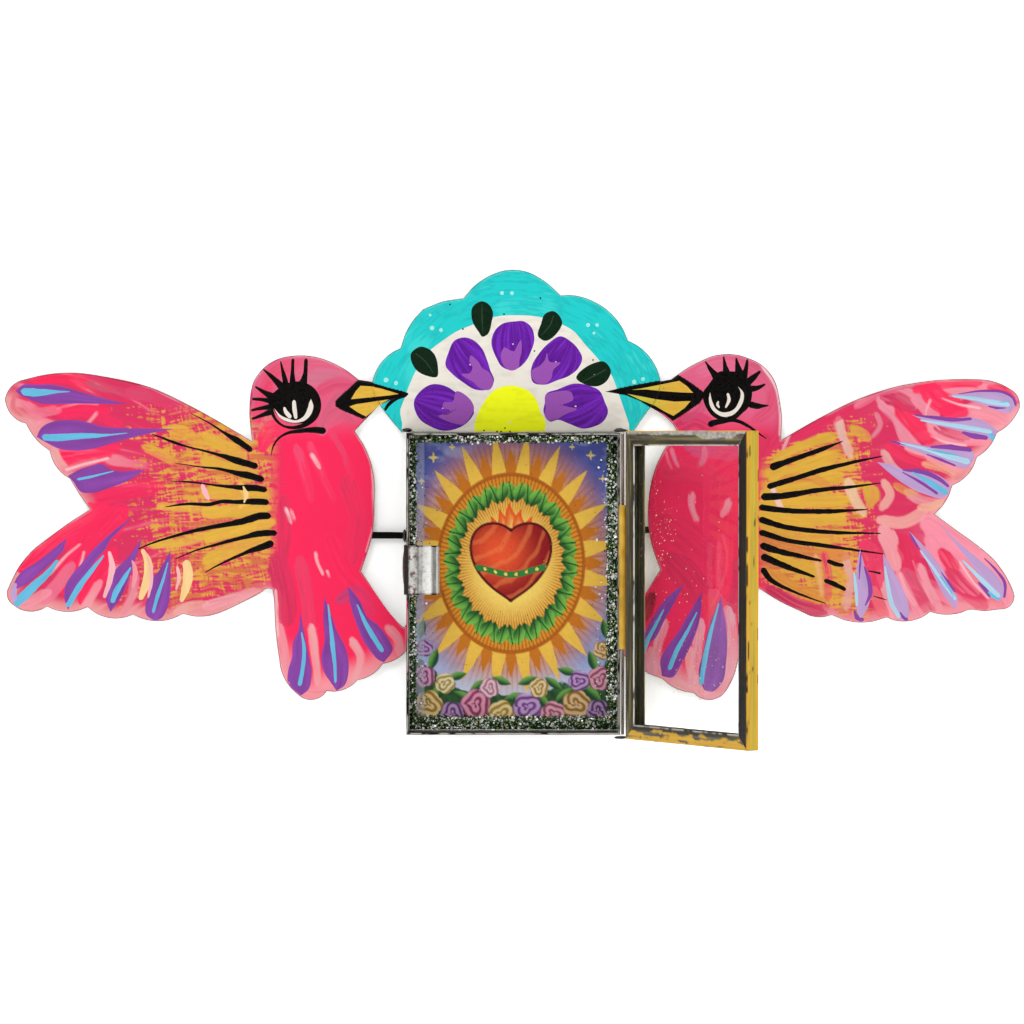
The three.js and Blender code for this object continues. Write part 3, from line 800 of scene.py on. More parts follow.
def feathered(canvas, root, seed):
    """Streaks that spread from the root of a wing, and how far from the root each point lies."""
    angle = np.arctan2(canvas.py - root[1], canvas.px - root[0])
    reach = np.hypot(canvas.py - root[1], canvas.px - root[0])
    return ripple(angle * 26 + 100, reach / 60, seed, 3), reach


# Left bird, in the photograph's pixels

LEFT_ROOT = (300, 490)
LEFT_STROKES = (
    (0xF42556, 13, 0.25, ((34, 379), (60, 377), (92, 384))),
    (0xF42556, 11, 0.3, ((48, 409), (76, 406), (108, 410))),
    (0xF12A5C, 9, 0.5, ((60, 415), (90, 414), (120, 424))),
    (0xF42556, 13, 0.3, ((62, 453), (86, 452), (118, 448))),
    (0xF42556, 13, 0.3, ((60, 465), (80, 461), (108, 455))),
    (0xE7798F, 9, 0.4, ((24, 404), (36, 412), (58, 410))),
    (0xE0707C, 7, 0.7, ((14, 396), (13, 408), (22, 416))),
    (0xE8949C, 8, 0.3, ((30, 421), (36, 428), (44, 424))),
    (0xE7A0A0, 9, 0.2, ((54, 450), (58, 460), (66, 470))),
    (0xE08088, 7, 0.4, ((60, 472), (72, 468), (98, 460))),
    (0xF42556, 28, 0.1, ((24, 566), (58, 536), (104, 510))),
    (0xF02656, 30, 0.15, ((66, 584), (90, 545), (120, 512))),
    (0xEC2858, 16, 0.3, ((100, 498), (128, 491), (160, 486))),
    (0xF42556, 20, 0.2, ((84, 600), (98, 574), (112, 552))),
    (0xDC3E66, 14, 0.6, ((130, 392), (160, 400), (190, 412))),
    (0xC9506A, 8, 0.7, ((88, 383), (120, 392), (150, 396))),
    (0xE2708A, 14, 0.25, ((44, 600), (60, 582), (72, 566))),
    (0xE8909C, 12, 0.3, ((24, 604), (34, 600), (48, 592))),
    (0xEC9AA4, 9, 0.3, ((82, 612), (92, 596), (100, 582))),
    (0xE58A96, 8, 0.4, ((122, 614), (132, 596), (136, 574))),
    (0xE6A09A, 10, 0.4, ((176, 612), (190, 606), (206, 604))),
    (0xE8A0A8, 10, 0.5, ((206, 606), (232, 598), (258, 592))),
    (0xF0B0B6, 1.6, 0.2, ((84, 552), (82, 560), (80, 566))),
    (0xF0B0B6, 1.4, 0.2, ((80, 545), (64, 558), (50, 575))),
    (0xF0A0AA, 2.2, 0.2, ((97, 413), (91, 420), (84, 427))),
    (0xF4B8C0, 1.6, 0.1, ((66, 470), (88, 463), (108, 458))),
    (0xF0A0AA, 1.8, 0.3, ((58, 410), (76, 404), (98, 404))),
    (0xDCA83A, 12, 0.45, ((170, 428), (188, 434), (200, 446))),
    (0xDCA83A, 9, 0.5, ((145, 446), (162, 454), (176, 462))),
    (0xDDB040, 8, 0.4, ((160, 506), (190, 508), (216, 506))),
    (0xDDB040, 8, 0.4, ((150, 545), (185, 542), (214, 534))),
    (0xD9A93C, 12, 0.25, ((204, 436), (224, 446), (244, 458))),
    (0xD9A93C, 12, 0.25, ((204, 461), (232, 468), (256, 478))),
    (0xD9A93C, 13, 0.25, ((206, 492), (236, 494), (266, 496))),
    (0xDDAE3E, 12, 0.2, ((206, 513), (236, 511), (268, 508))),
    (0xDDAE3E, 13, 0.2, ((208, 538), (240, 528), (272, 522))),
    (0xD9A93C, 14, 0.3, ((206, 560), (236, 548), (266, 538))),
    (0xE8B850, 7, 0.3, ((240, 484), (246, 495), (240, 506))),
)
LEFT_BODY_STROKES = (
    (0xDB6080, 26, 0.15, ((300, 372), (330, 374), (352, 388))),
    (0xD0708A, 18, 0.4, ((310, 378), (338, 380), (356, 396))),
    (0xD85C7C, 16, 0.2, ((322, 430), (334, 404), (348, 388))),
    (0xDA4A70, 12, 0.3, ((318, 392), (336, 384), (352, 384))),
    (0xE0506E, 14, 0.4, ((264, 392), (276, 372), (296, 364))),
    (0xE84068, 12, 0.3, ((258, 420), (262, 400), (270, 384))),
    (0xF4305C, 16, 0.3, ((262, 448), (272, 428), (290, 432))),
    (0xD85878, 18, 0.3, ((330, 420), (344, 412), (354, 420))),
    (0xF24870, 10, 0.8, ((296, 446), (304, 470), (312, 500))),
    (0xF24870, 8, 0.8, ((310, 444), (320, 470), (334, 500))),
    (0xEE4068, 8, 0.8, ((330, 430), (344, 456), (352, 480))),
    (0xE62E58, 20, 0.5, ((346, 480), (358, 520), (352, 560))),
    (0xD93058, 14, 0.4, ((284, 500), (284, 540), (280, 570))),
    (0xCE2E58, 22, 0.3, ((276, 560), (284, 590), (288, 620))),
    (0xE83C64, 14, 0.4, ((300, 560), (306, 590), (310, 630))),
    (0xF42556, 16, 0.2, ((330, 540), (344, 570), (370, 600))),
    (0xC43C70, 14, 0.7, ((340, 600), (356, 592), (372, 612))),
    (0xE8909C, 9, 0.3, ((280, 626), (284, 648), (285, 672))),
    (0xEBA0A4, 8, 0.3, ((312, 626), (315, 652), (318, 684))),
    (0xEBA0A4, 8, 0.3, ((352, 640), (360, 656), (352, 686))),
    (0xE8949C, 9, 0.4, ((388, 628), (398, 640), (400, 654))),
    (0xE58892, 10, 0.3, ((296, 690), (318, 694), (344, 690))),
    (0xF0B8BC, 2.2, 0.2, ((276, 590), (277.5, 612), (278, 636))),
    # Painted highlight: a thin pale line just inside the breast's edge.
    (0xF0B0B8, 1.8, 0.2, ((372, 470), (374, 500), (372, 530), (366, 552))),
    (0xF3C4CA, 3.4, 0.5, ((312, 455), (316, 461), (320, 467))),
    (0xF3C4CA, 3.6, 0.5, ((286, 508), (289, 516), (291, 523))),
    (0xF3C4CA, 3.0, 0.6, ((292, 510), (294, 516), (295, 520))),
    (0xF3C4CA, 2.4, 0.4, ((315.5, 553), (317, 562), (322, 574))),
    (0xF3C4CA, 2.4, 0.6, ((327, 571), (328.5, 575), (329, 577))),
)
LEFT_FEATHERS = (
    (
        ((15.7, 391), (22, 385), (37, 384), (52, 384), (66, 387), (85, 393), (107, 399), (127, 404)),
        ((15.7, 391), (20, 395), (28, 399), (41, 404), (55, 405), (75, 404), (100, 404), (127, 404)),
    ),
    (
        (
            (36.7, 437), (41, 427.6), (53, 420.7), (65.7, 419), (87.6, 421.4), (100, 425.5), (123, 427.6),
            (174, 429),
        ),
        (
            (36.7, 437), (48, 444), (59, 449.5), (74, 451.5), (93, 449.5), (118, 442), (149, 433.7),
            (174, 429),
        ),
    ),
    (
        ((67.7, 476), (80.7, 468.6), (93, 464.5), (102, 463), (109, 468), (145, 470)),
        ((67.7, 476), (72.5, 481), (81, 492.6), (94, 493.5), (109.5, 488.5), (128, 481), (145, 470)),
    ),
    (
        (
            (79.4, 528), (70, 535.7), (59, 544), (48, 553), (35.6, 562.4), (22, 571), (14.4, 582),
            (13.7, 590),
        ),
        ((79.4, 528), (67, 539), (63, 551), (56, 559), (41, 572.6), (26, 585), (13.7, 590)),
    ),
    (
        (
            (134, 516), (116, 529), (98.5, 544), (89, 553.5), (80.7, 564), (71, 575.4), (65, 586),
            (64, 597), (68, 610),
        ),
        (
            (134, 516), (119, 531), (110, 541), (105.4, 549.4), (96, 561), (88, 573), (80, 586), (74, 599),
            (68, 610),
        ),
    ),
    (
        ((142, 538), (126, 559), (116, 568.5), (106.7, 583.6), (105.4, 598.6), (110.5, 612)),
        ((142, 538), (134, 565), (127, 585), (120.5, 599), (110.5, 612)),
    ),
    (
        ((170.4, 550.7), (160, 568.5), (152, 579.5), (149, 593), (145, 603.7), (146, 615), (155, 621)),
        ((170.4, 550.7), (171, 570), (171, 593), (168, 608), (162, 618), (155, 621)),
    ),
    (
        (
            (300, 611), (298.4, 629.5), (292.6, 643.4), (291.5, 657), (287.4, 671), (287, 682),
            (300.7, 695.7),
        ),
        ((300, 611), (306, 640), (309.4, 656), (312.3, 675.8), (308.8, 689.7), (300.7, 695.7)),
    ),
    (
        (
            (324.5, 597), (323, 618), (324, 640), (320.4, 659.6), (324, 673.5), (329.7, 681.6),
            (336.6, 690.8),
        ),
        (
            (324.5, 597), (330.8, 613.3), (337.8, 631.8), (347, 650), (349.4, 670), (344.7, 685.6),
            (336.6, 690.8),
        ),
    ),
    (
        ((347, 585.5), (351.7, 611), (356.3, 624.8), (362, 640), (370, 651.5), (378.3, 660), (384, 662.5)),
        ((347, 585.5), (359.8, 600), (368, 616.7), (378.3, 624.8), (390, 640), (393.4, 648), (384, 662.5)),
    ),
)
LEFT_SKY = (
    (((21, 391), (28, 392), (40, 392.5), (55, 391.8), (70, 391.6)), (4.5, 5.8, 4.2, 1.6, 0.5)),
    (((42, 437), (50, 437.5), (65, 437), (80, 436), (100, 435.5), (128, 433)), (4, 5, 4.4, 3.2, 1.2, 0.5)),
    (((77, 479.5), (90, 477), (104, 473.5), (114, 471)), (1.6, 1.8, 1.2, 0.6)),
    (((58, 560), (47, 574), (34, 586), (20, 600), (14, 606)), (1.6, 3.4, 4.4, 5.2, 4)),
    (((104, 555), (92, 570), (78, 588), (67, 607)), (0.8, 2.6, 3.6, 3)),
    (((131, 567), (123, 580), (116, 592), (112, 603)), (0.9, 3.2, 4, 3)),
    (((168, 562), (163, 580), (157, 598), (153, 613)), (0.7, 1.8, 2.6, 2)),
    (((301.5, 632), (304, 648), (303, 666), (299.5, 686)), (0.9, 2.4, 2.6, 3)),
    (((328, 604), (330.5, 626), (333, 648), (335, 668), (335.5, 683)), (0.7, 1.8, 3.4, 2.4, 1.6)),
    (((357, 604), (365, 622), (374, 638), (383, 652)), (0.8, 2.6, 3.6, 3.2)),
)
LEFT_PALE = (
    (LILAC, ((16, 583), (14, 590), (15, 599), (22, 604)), (2.4, 3.4, 3.2, 1.6)),
    (PALE_BLUSH, ((109, 551), (112, 565), (110, 582), (104, 598)), (1.6, 3.4, 3.6, 2)),
    (PEACH, ((142, 549), (148, 562), (147, 580), (140, 600)), (2, 4.6, 4.8, 2.4)),
    (PALE_BLUSH, ((145, 552), (150, 566), (151, 582), (148, 598)), (1, 2.4, 2.4, 1)),
    (PEACH, ((186, 560), (188, 572), (186, 588), (181, 602)), (4, 5.4, 4.6, 2)),
    (PALE_BLUSH, ((177, 566), (179, 578), (176, 590)), (1.2, 2.2, 1)),
    (PALE_BLUSH, ((202, 484), (205, 492), (209, 500)), (1.8, 3, 1.4)),
    (BLUSH, ((132, 560), (135, 570), (133, 588)), (1.6, 2.8, 1.6)),
    (PEACH, ((243, 486), (246, 494), (244, 503)), (1.6, 2.4, 1.4)),
)
LEFT_INK = (
    (((252, 451), (239.7, 442), (226, 434), (210, 423.5), (190, 413)), (2.6, 3.0, 1.0, 0.6, 0.3)),
    (
        ((258, 466.5), (245, 463), (226, 457), (205, 451), (185, 446), (152, 434)),
        (2.8, 3.3, 1.3, 0.8, 1.4, 0.4),
    ),
    (
        ((264, 480), (250.6, 476), (235.6, 472.7), (220, 469), (201, 467), (175, 463)),
        (2.8, 3.3, 1.7, 1.0, 0.5, 0.3),
    ),
    (
        ((267, 490), (254.7, 488), (240, 487.5), (219, 485.7), (190, 482), (170, 481)),
        (2.7, 3.2, 1.5, 0.9, 0.9, 0.3),
    ),
    (
        ((269, 502.5), (255, 501.5), (235, 502), (222, 501.5), (211, 504), (185, 504), (165, 507)),
        (3, 3, 1.9, 2, 1.6, 1.2, 0.4),
    ),
    (
        (
            (271, 516), (260, 516), (245, 520.6), (229, 524), (200, 529.5), (178, 535), (150, 544),
            (138, 549),
        ),
        (3, 3.4, 2.3, 2, 1.5, 1, 0.5),
    ),
    (
        ((277, 533), (260, 533.5), (245, 537), (229, 541), (211, 546), (200, 549), (175, 559)),
        (2.8, 3, 2, 1.6, 1.1, 0.7, 0.4),
    ),
    (
        ((273.5, 542.5), (263, 546.6), (249, 551.4), (229, 560), (211, 569), (205, 572.6)),
        (3.4, 3, 1.7, 1.2, 0.9, 0.4),
    ),
)
LEFT_DISC = (
    (268, 398), (275, 391), (285, 384), (296, 381), (309, 384), (317, 391), (321, 400), (321, 410),
    (317, 419), (310, 425), (300, 429), (288, 429), (279, 425), (272, 417), (269, 408),
)
LEFT_RING = (
    ((273, 409), (276, 418), (283, 425), (292, 426.5), (303, 423.5)),
    ((273, 409), (279, 416), (288, 422), (295, 423), (303, 423.5)),
)
LEFT_WHITE = (
    ((274, 408), (279, 417), (287, 422), (296, 423), (305, 421), (312, 414), (314, 406), (311, 399)),
    ((274, 408), (281, 415), (288, 418), (296, 420), (303, 416), (307, 408), (309, 402), (311, 399)),
)
LEFT_GLINTS = (
    (((284, 407), (286, 412), (291, 418)), (1.5, 2.8, 2.6)),
    (((294, 400), (294.5, 408), (296, 419)), (2.3, 2.9, 2.2)),
)
LEFT_LASHES = (
    (((284, 389), (272, 377), (263, 369)), (4.6, 2.8, 0.7)),
    (((287, 388), (283, 372), (280.5, 361)), (3.2, 2.2, 0.6)),
    (((293, 388), (292.5, 372), (293, 358.5)), (4.2, 2, 1.5)),
    (((302, 388), (305.5, 372), (306, 358.5)), (5.5, 2.5, 1.8)),
    (((274, 398), (263, 391.5), (255, 386.5)), (5, 2.4, 1)),
    (((276, 402), (262, 399.5), (251, 399)), (4.5, 2.2, 1.2)),
    (((276, 406), (262, 408), (251, 410.5)), (4.2, 2.2, 1.3)),
    (((273, 411), (263, 415), (251.5, 419)), (3.6, 2.2, 1.2)),
    (
        ((326, 431), (316, 430), (300, 431), (288, 433), (279, 438), (273, 447), (271, 455.5)),
        (3.6, 3.2, 2.5, 1.8, 1.3, 0.9, 0.3),
    ),
)
LEFT_BEAK = (
    (358, 380), (336, 400), (335, 405.7), (340, 409.5), (363, 419), (368, 417), (376, 407), (390, 400),
    (409, 395), (409, 393), (402, 391), (390, 388), (375, 383.5), (366, 381),
)
LEFT_BEAK_TOP = (
    (350, 399.5), (355, 391), (360, 385.5), (370, 386), (382, 388.5), (400, 394), (390, 395.5),
    (370, 397.5),
)
LEFT_BEAK_LOW = (
    (348.5, 406.5), (356, 404), (370, 402), (390, 399), (383, 403), (376, 408.5), (366, 417), (357, 412.5),
)
LEFT_BEAK_EDGE = (((407, 395.5), (396, 399), (389, 404), (384.5, 411)), (1.2, 1.6, 2, 1.5))


# Right bird, in the photograph's pixels

RIGHT_ROOT = (735, 495)
RIGHT_STROKES = (
    (0xE8889C, 16, 0.15, ((900, 394), (922, 402), (936, 420))),
    (0xEF8A9C, 15, 0.2, ((936, 388), (968, 388), (1000, 392))),
    (0xF42A58, 22, 0.1, ((926, 386), (936, 398), (962, 412))),
    (0xF42A58, 10, 0.2, ((916, 390), (940, 384), (980, 383))),
    (0xF03058, 9, 0.3, ((990, 388), (1008, 394), (1014, 404))),
    (0xE98CA0, 13, 0.2, ((880, 400), (896, 416), (908, 440), (920, 452))),
    (0xE8788E, 8, 0.5, ((856, 406), (868, 400), (878, 394))),
    (0xF03058, 16, 0.2, ((898, 406), (912, 424), (930, 440))),
    (0xC83058, 16, 0.3, ((884, 396), (898, 400), (910, 408))),
    (0xEF8C9C, 12, 0.2, ((930, 424), (944, 438), (972, 440), (996, 438))),
    (0xD2486A, 10, 0.5, ((936, 428), (952, 434), (968, 438))),
    (0xEF909E, 13, 0.25, ((974, 412), (996, 416), (1006, 422))),
    (0xEC98A0, 12, 0.2, ((908, 448), (932, 456), (956, 470), (966, 478))),
    (0xE83058, 13, 0.25, ((890, 446), (904, 456), (926, 464))),
    (0xE8A080, 7, 0.5, ((924, 464), (944, 470), (960, 478))),
    (0xE08888, 9, 0.4, ((956, 478), (966, 474), (974, 468))),
    (0xE3949A, 10, 0.4, ((906, 492), (920, 500), (938, 504))),
    (0xE8B090, 8, 0.4, ((920, 508), (934, 506), (942, 502))),
    (0xF08CA0, 26, 0.1, ((928, 524), (950, 540), (984, 566))),
    (0xF08CA0, 20, 0.15, ((930, 540), (950, 566), (975, 590))),
    (0xEE90A0, 14, 0.2, ((984, 556), (1004, 580), (1008, 604))),
    (0xE63058, 14, 0.25, ((942, 552), (948, 560), (956, 572))),
    (0xDC3C60, 16, 0.4, ((950, 572), (968, 592), (984, 606))),
    (0xE8808E, 10, 0.4, ((970, 574), (992, 596), (1004, 608))),
    (0xE99AA0, 18, 0.15, ((884, 530), (892, 548), (896, 566))),
    (0xE8A09A, 12, 0.2, ((880, 520), (902, 522), (924, 512))),
    (0xE89AA4, 12, 0.25, ((880, 572), (888, 594), (896, 620))),
    (0xDC2E58, 20, 0.15, ((904, 540), (910, 556), (912, 572))),
    (0xD8506E, 13, 0.4, ((906, 572), (918, 592), (932, 614))),
    (0xEA8C9C, 8, 0.3, ((898, 572), (910, 596), (920, 616))),
    (0xEE94A2, 8, 0.3, ((920, 566), (930, 588), (940, 608))),
    (0xE23A60, 22, 0.15, ((866, 546), (874, 562), (876, 584))),
    (0xE4646E, 12, 0.3, ((874, 590), (880, 606), (886, 618))),
    (0xDCA09A, 9, 0.3, ((846, 556), (850, 580), (846, 608))),
    (0xE2B0A6, 9, 0.3, ((838, 418), (842, 436), (850, 456))),
    (0xE4BC98, 11, 0.2, ((848, 482), (854, 498), (864, 514))),
    (0xE0A0A0, 9, 0.3, ((884, 452), (892, 466), (900, 474))),
    (0xDC8A98, 5, 0.4, ((876, 414), (880, 424), (872, 438))),
    (0xE4A89C, 8, 0.25, ((884, 482), (890, 494), (882, 508))),
    (0xD8A040, 11, 0.4, ((852, 428), (860, 432), (868, 438))),
    (0xD8A83C, 16, 0.3, ((868, 486), (872, 496), (870, 504))),
    (0xD8A040, 7, 0.6, ((896, 486), (908, 492), (918, 492))),
    (0xE8708C, 8, 0.4, ((858, 398), (878, 392), (900, 388))),
    (0xDB2C5A, 14, 0.3, ((790, 436), (816, 424), (850, 408))),
    (0xE6AEB4, 4, 0.5, ((790, 434), (784, 448), (780, 460))),
    (0xD8A83C, 9, 0.15, ((776, 458), (800, 446), (832, 436))),
    (0xD8A83C, 13, 0.15, ((772, 478), (800, 468), (836, 456))),
    (0xD9A83C, 14, 0.15, ((764, 494), (800, 484), (840, 476))),
    (0xDBAA3C, 13, 0.15, ((762, 503), (800, 502), (846, 500))),
    (0xDAA93C, 12, 0.15, ((762, 514), (800, 520), (842, 518))),
    (0xD8A03C, 11, 0.3, ((762, 526), (800, 536), (840, 538))),
    (0xD27A40, 13, 0.3, ((762, 540), (800, 552), (846, 556))),
    (0xDAA83A, 13, 0.2, ((776, 558), (800, 568), (824, 576))),
    (0xD88A3C, 13, 0.3, ((772, 574), (794, 588), (824, 600))),
    (0xD8A03C, 9, 0.35, ((826, 566), (838, 572), (846, 580))),
    (0xD07040, 9, 0.6, ((782, 480), (812, 478), (830, 488))),
    (0xE6A878, 5, 0.3, ((816, 556), (820, 578), (822, 596))),
    (0xE0405E, 8, 0.4, ((824, 554), (828, 572), (828, 600))),
    (0xF0C4C8, 4.5, 0.3, ((772, 486), (776, 498), (782, 511))),
    (0xC62E56, 14, 0.3, ((770, 590), (796, 606), (824, 614))),
    (0xF0A0AA, 3, 0.2, ((900, 574), (906, 590), (916, 606))),
    (0xF6BCC4, 1.8, 0.2, ((930, 436), (944, 442), (966, 446))),
    (0xF6BCC4, 1.6, 0.2, ((942, 398), (958, 404), (980, 408))),
    (0xF2A8B2, 1.8, 0.3, ((930, 400), (926, 414), (940, 430))),
    (0xF4B4BC, 1.6, 0.2, ((960, 562), (972, 580), (988, 598))),
    (0xF2B0B8, 1.6, 0.2, ((912, 560), (920, 580), (932, 604))),
)
RIGHT_BODY_STROKES = (
    (0xDC6084, 22, 0.15, ((690, 376), (716, 362), (744, 362))),
    (0xD05878, 15, 0.4, ((748, 366), (768, 380), (776, 410))),
    (0xE06C90, 12, 0.4, ((700, 372), (720, 366), (740, 368))),
    (0xD84C70, 12, 0.4, ((756, 420), (770, 408), (774, 390))),
    (0xD03460, 16, 0.3, ((678, 426), (696, 420), (712, 428))),
    (0xCC4870, 9, 0.6, ((684, 420), (700, 410), (706, 402))),
    # Painted highlight: a thin pale line just inside the head's edge.
    (0xF0C8CC, 2.4, 0.1, ((762, 366), (774, 384), (780, 410), (780, 436))),
    (0xD33058, 20, 0.3, ((764, 440), (756, 456), (746, 470))),
    (0xD8507A, 22, 0.5, ((690, 446), (716, 448), (740, 452))),
    (0xE03058, 26, 0.3, ((668, 470), (690, 470), (716, 480))),
    (0xE02A56, 30, 0.2, ((666, 520), (690, 540), (716, 560))),
    (0xD42A54, 30, 0.3, ((672, 560), (690, 580), (700, 600))),
    (0xF42A58, 20, 0.2, ((730, 500), (726, 540), (722, 590))),
    (0xC82A54, 10, 0.4, ((738, 560), (736, 590), (728, 630))),
    (0xE8304F, 16, 0.3, ((708, 600), (716, 620), (722, 650))),
    # Painted shade: a dark red stroke on the tail beside the door's hinge side.
    (0x8E1C30, 12, 0.3, ((652, 596), (648, 606), (646, 618))),
    (0xE8809A, 3.2, 0.3, ((671, 449), (674, 458), (678, 467))),
    (0xE8809A, 2.2, 0.5, ((666, 452), (668, 460), (672, 468))),
    (0xE0708C, 8, 0.7, ((704, 448), (704, 458), (700, 466))),
    (0xEE90A4, 5.5, 0.3, ((692, 494), (692, 506), (698, 521))),
    (0xEE8CA2, 7.5, 0.3, ((728, 500), (726, 508), (722, 515))),
    (0xF05070, 2.4, 0.5, ((723, 534), (727, 560), (720, 590), (712, 606))),
    (0xE8909C, 9, 0.3, ((650, 650), (656, 672), (664, 682))),
    (0xEBA0A4, 9, 0.3, ((674, 682), (690, 690), (706, 692))),
    (0xEBA0A4, 8, 0.3, ((690, 650), (690, 668), (696, 684))),
    (0xE58892, 8, 0.4, ((716, 690), (728, 684), (736, 676))),
    (0xE8A0AE, 10, 0.5, ((664, 622), (658, 645), (652, 672))),
    (0xE8A0AE, 12, 0.5, ((700, 622), (697, 650), (692, 684))),
    (0xE49AAA, 14, 0.6, ((728, 610), (730, 645), (722, 684))),
)
RIGHT_FEATHERS = (
    (
        "pale",
        ((948, 396), (965, 392), (985, 390.5), (1003, 392), (1013, 398), (1015.5, 406), (1010, 413)),
        ((948, 396), (970, 401), (990, 408), (1003, 413), (1010, 413)),
    ),
    (
        "pale",
        ((912, 415), (945, 418), (975, 417.5), (985, 421), (998, 431)),
        ((912, 415), (930, 423), (960, 431), (985, 437), (996, 440), (998, 431)),
    ),
    (
        "pale",
        ((890, 441), (905, 442), (935, 447), (955, 446), (972, 450), (975, 457)),
        ((890, 441), (905, 447), (930, 457), (950, 465), (968, 468), (975, 457)),
    ),
    (
        "pale",
        ((877, 462), (890, 464), (903, 469), (930, 471), (945, 479), (951, 487)),
        ((877, 462), (888, 472), (905, 485), (925, 495), (944, 498), (951, 487)),
    ),
    (
        "pale",
        ((860, 548), (856, 570), (855, 590), (856, 608), (860, 620)),
        ((860, 548), (866, 570), (871, 588), (868, 608), (860, 620)),
    ),
    (
        "pale",
        ((883, 553), (884, 575), (888, 596), (894, 612), (903, 621)),
        ((883, 553), (892, 568), (902, 586), (909, 604), (909, 616), (903, 621)),
    ),
    (
        "pale",
        ((909, 531), (922, 552), (933, 575), (944, 596), (956, 610)),
        ((909, 531), (924, 546), (940, 566), (952, 586), (958, 600), (956, 610)),
    ),
    (
        "pale",
        ((938, 522), (954, 542), (974, 568), (990, 588), (1002, 600)),
        ((938, 522), (956, 540), (980, 560), (999, 578), (1006, 592), (1002, 600)),
    ),
    (
        "deep",
        ((684, 584), (668, 596), (656, 612), (646, 630), (640, 646)),
        ((684, 584), (674, 604), (664, 622), (654, 640), (640, 646)),
    ),
    (
        "deep",
        ((702, 592), (688, 614), (676, 634), (667, 646), (660, 660), (662, 676)),
        ((702, 592), (700, 620), (692, 644), (682, 664), (672, 678), (662, 676)),
    ),
    (
        "deep",
        ((721, 597), (708, 628), (702, 654), (698, 674), (704, 690)),
        ((721, 597), (727, 630), (727, 660), (722, 684), (712, 692), (704, 690)),
    ),
)
RIGHT_DEEP = (
    (((958, 394), (985, 391), (1004, 392.5), (1013, 398), (1016, 406)), (0.5, 1, 1.6, 1.4, 1.2)),
    (((988, 406), (998, 408), (1006, 408)), (0.8, 1.6, 0.8)),
    (((914, 415), (935, 418), (952, 420), (972, 419)), (0.8, 2, 2.8, 1.6)),
    (((962, 432), (974, 436), (988, 438)), (1.2, 3, 2.2)),
    (((930, 447), (950, 447.5), (972, 450.5)), (1, 3.4, 2.4)),
    (((890, 441), (898, 443), (906, 445)), (0.8, 1.4, 1)),
    (((902, 470), (925, 473), (940, 480), (949, 487)), (0.8, 3, 3, 2)),
    (((902, 472), (920, 482), (938, 494)), (0.8, 2.4, 2)),
    (((926, 454), (942, 460), (956, 466)), (0.6, 1.8, 1)),
    (((861, 552), (860, 566), (859, 580)), (0.8, 1.6, 0.6)),
    (((864, 566), (869, 582), (870, 594), (865, 606)), (0.8, 2.6, 2.6, 1)),
    (((854, 610), (858, 618), (864, 620)), (1, 2.6, 2)),
    (((910, 533), (914, 541), (918, 548)), (0.8, 1.6, 0.8)),
    (((900, 612), (904, 618), (908, 620)), (1, 2.4, 1.6)),
    (((941, 572), (948, 582), (955, 592)), (0.6, 1.6, 1)),
    (((984, 558), (996, 570), (1005, 584), (1004, 598)), (0.6, 1.2, 1.6, 1.6)),
    (((978, 582), (985, 589), (990, 597)), (1, 2.6, 1.6)),
)
RIGHT_SKY = (
    (PALE_SKY, ((952, 396), (972, 398), (992, 402), (1010, 405)), (1, 2.2, 3.2, 3.4)),
    (SKY, ((996, 403), (1004, 402), (1010, 400)), (0.6, 0.9, 0.6)),
    (PALE_SKY, ((920, 420), (945, 424), (970, 428), (992, 432)), (0.8, 2.2, 3.2, 3)),
    (SKY, ((988, 434), (992, 436), (993, 441)), (2, 3, 2)),
    (PALE_SKY, ((900, 443), (925, 449), (950, 457), (970, 462)), (0.8, 2, 3.4, 4.2)),
    (SKY, ((926, 449), (942, 452.5), (958, 455)), (1, 1.8, 0.8)),
    (SKY, ((912, 472), (926, 480), (940, 489), (948, 494)), (0.8, 2.6, 4.2, 3.4)),
    (PALE_SKY, ((854, 572), (856, 590), (857, 606)), (1.2, 2, 1.4)),
    (PALE_SKY, ((885, 566), (888, 586), (892, 604), (900, 618)), (1, 2.4, 2.6, 2)),
    (PALE_SKY, ((920, 550), (932, 566), (944, 584), (956, 600)), (0.8, 1.8, 2.4, 2)),
    (SKY, ((940, 576), (947, 586), (954, 598)), (1.2, 2, 1.4)),
    (PALE_SKY, ((962, 560), (976, 574), (990, 588), (1000, 597)), (0.8, 2, 3, 3)),
    (SKY, ((988, 592), (996, 598), (1000, 600)), (1.4, 2, 1.4)),
    (SKY, ((664, 609), (654, 628), (645, 646), (643, 656)), (0.8, 2.2, 2.8, 2)),
    (SKY, ((697, 612), (688, 630), (677, 650), (669, 670)), (0.7, 2.2, 3.2, 3)),
    (SKY, ((719, 603), (711, 632), (705, 660), (701, 685)), (0.7, 2.2, 3, 3)),
)
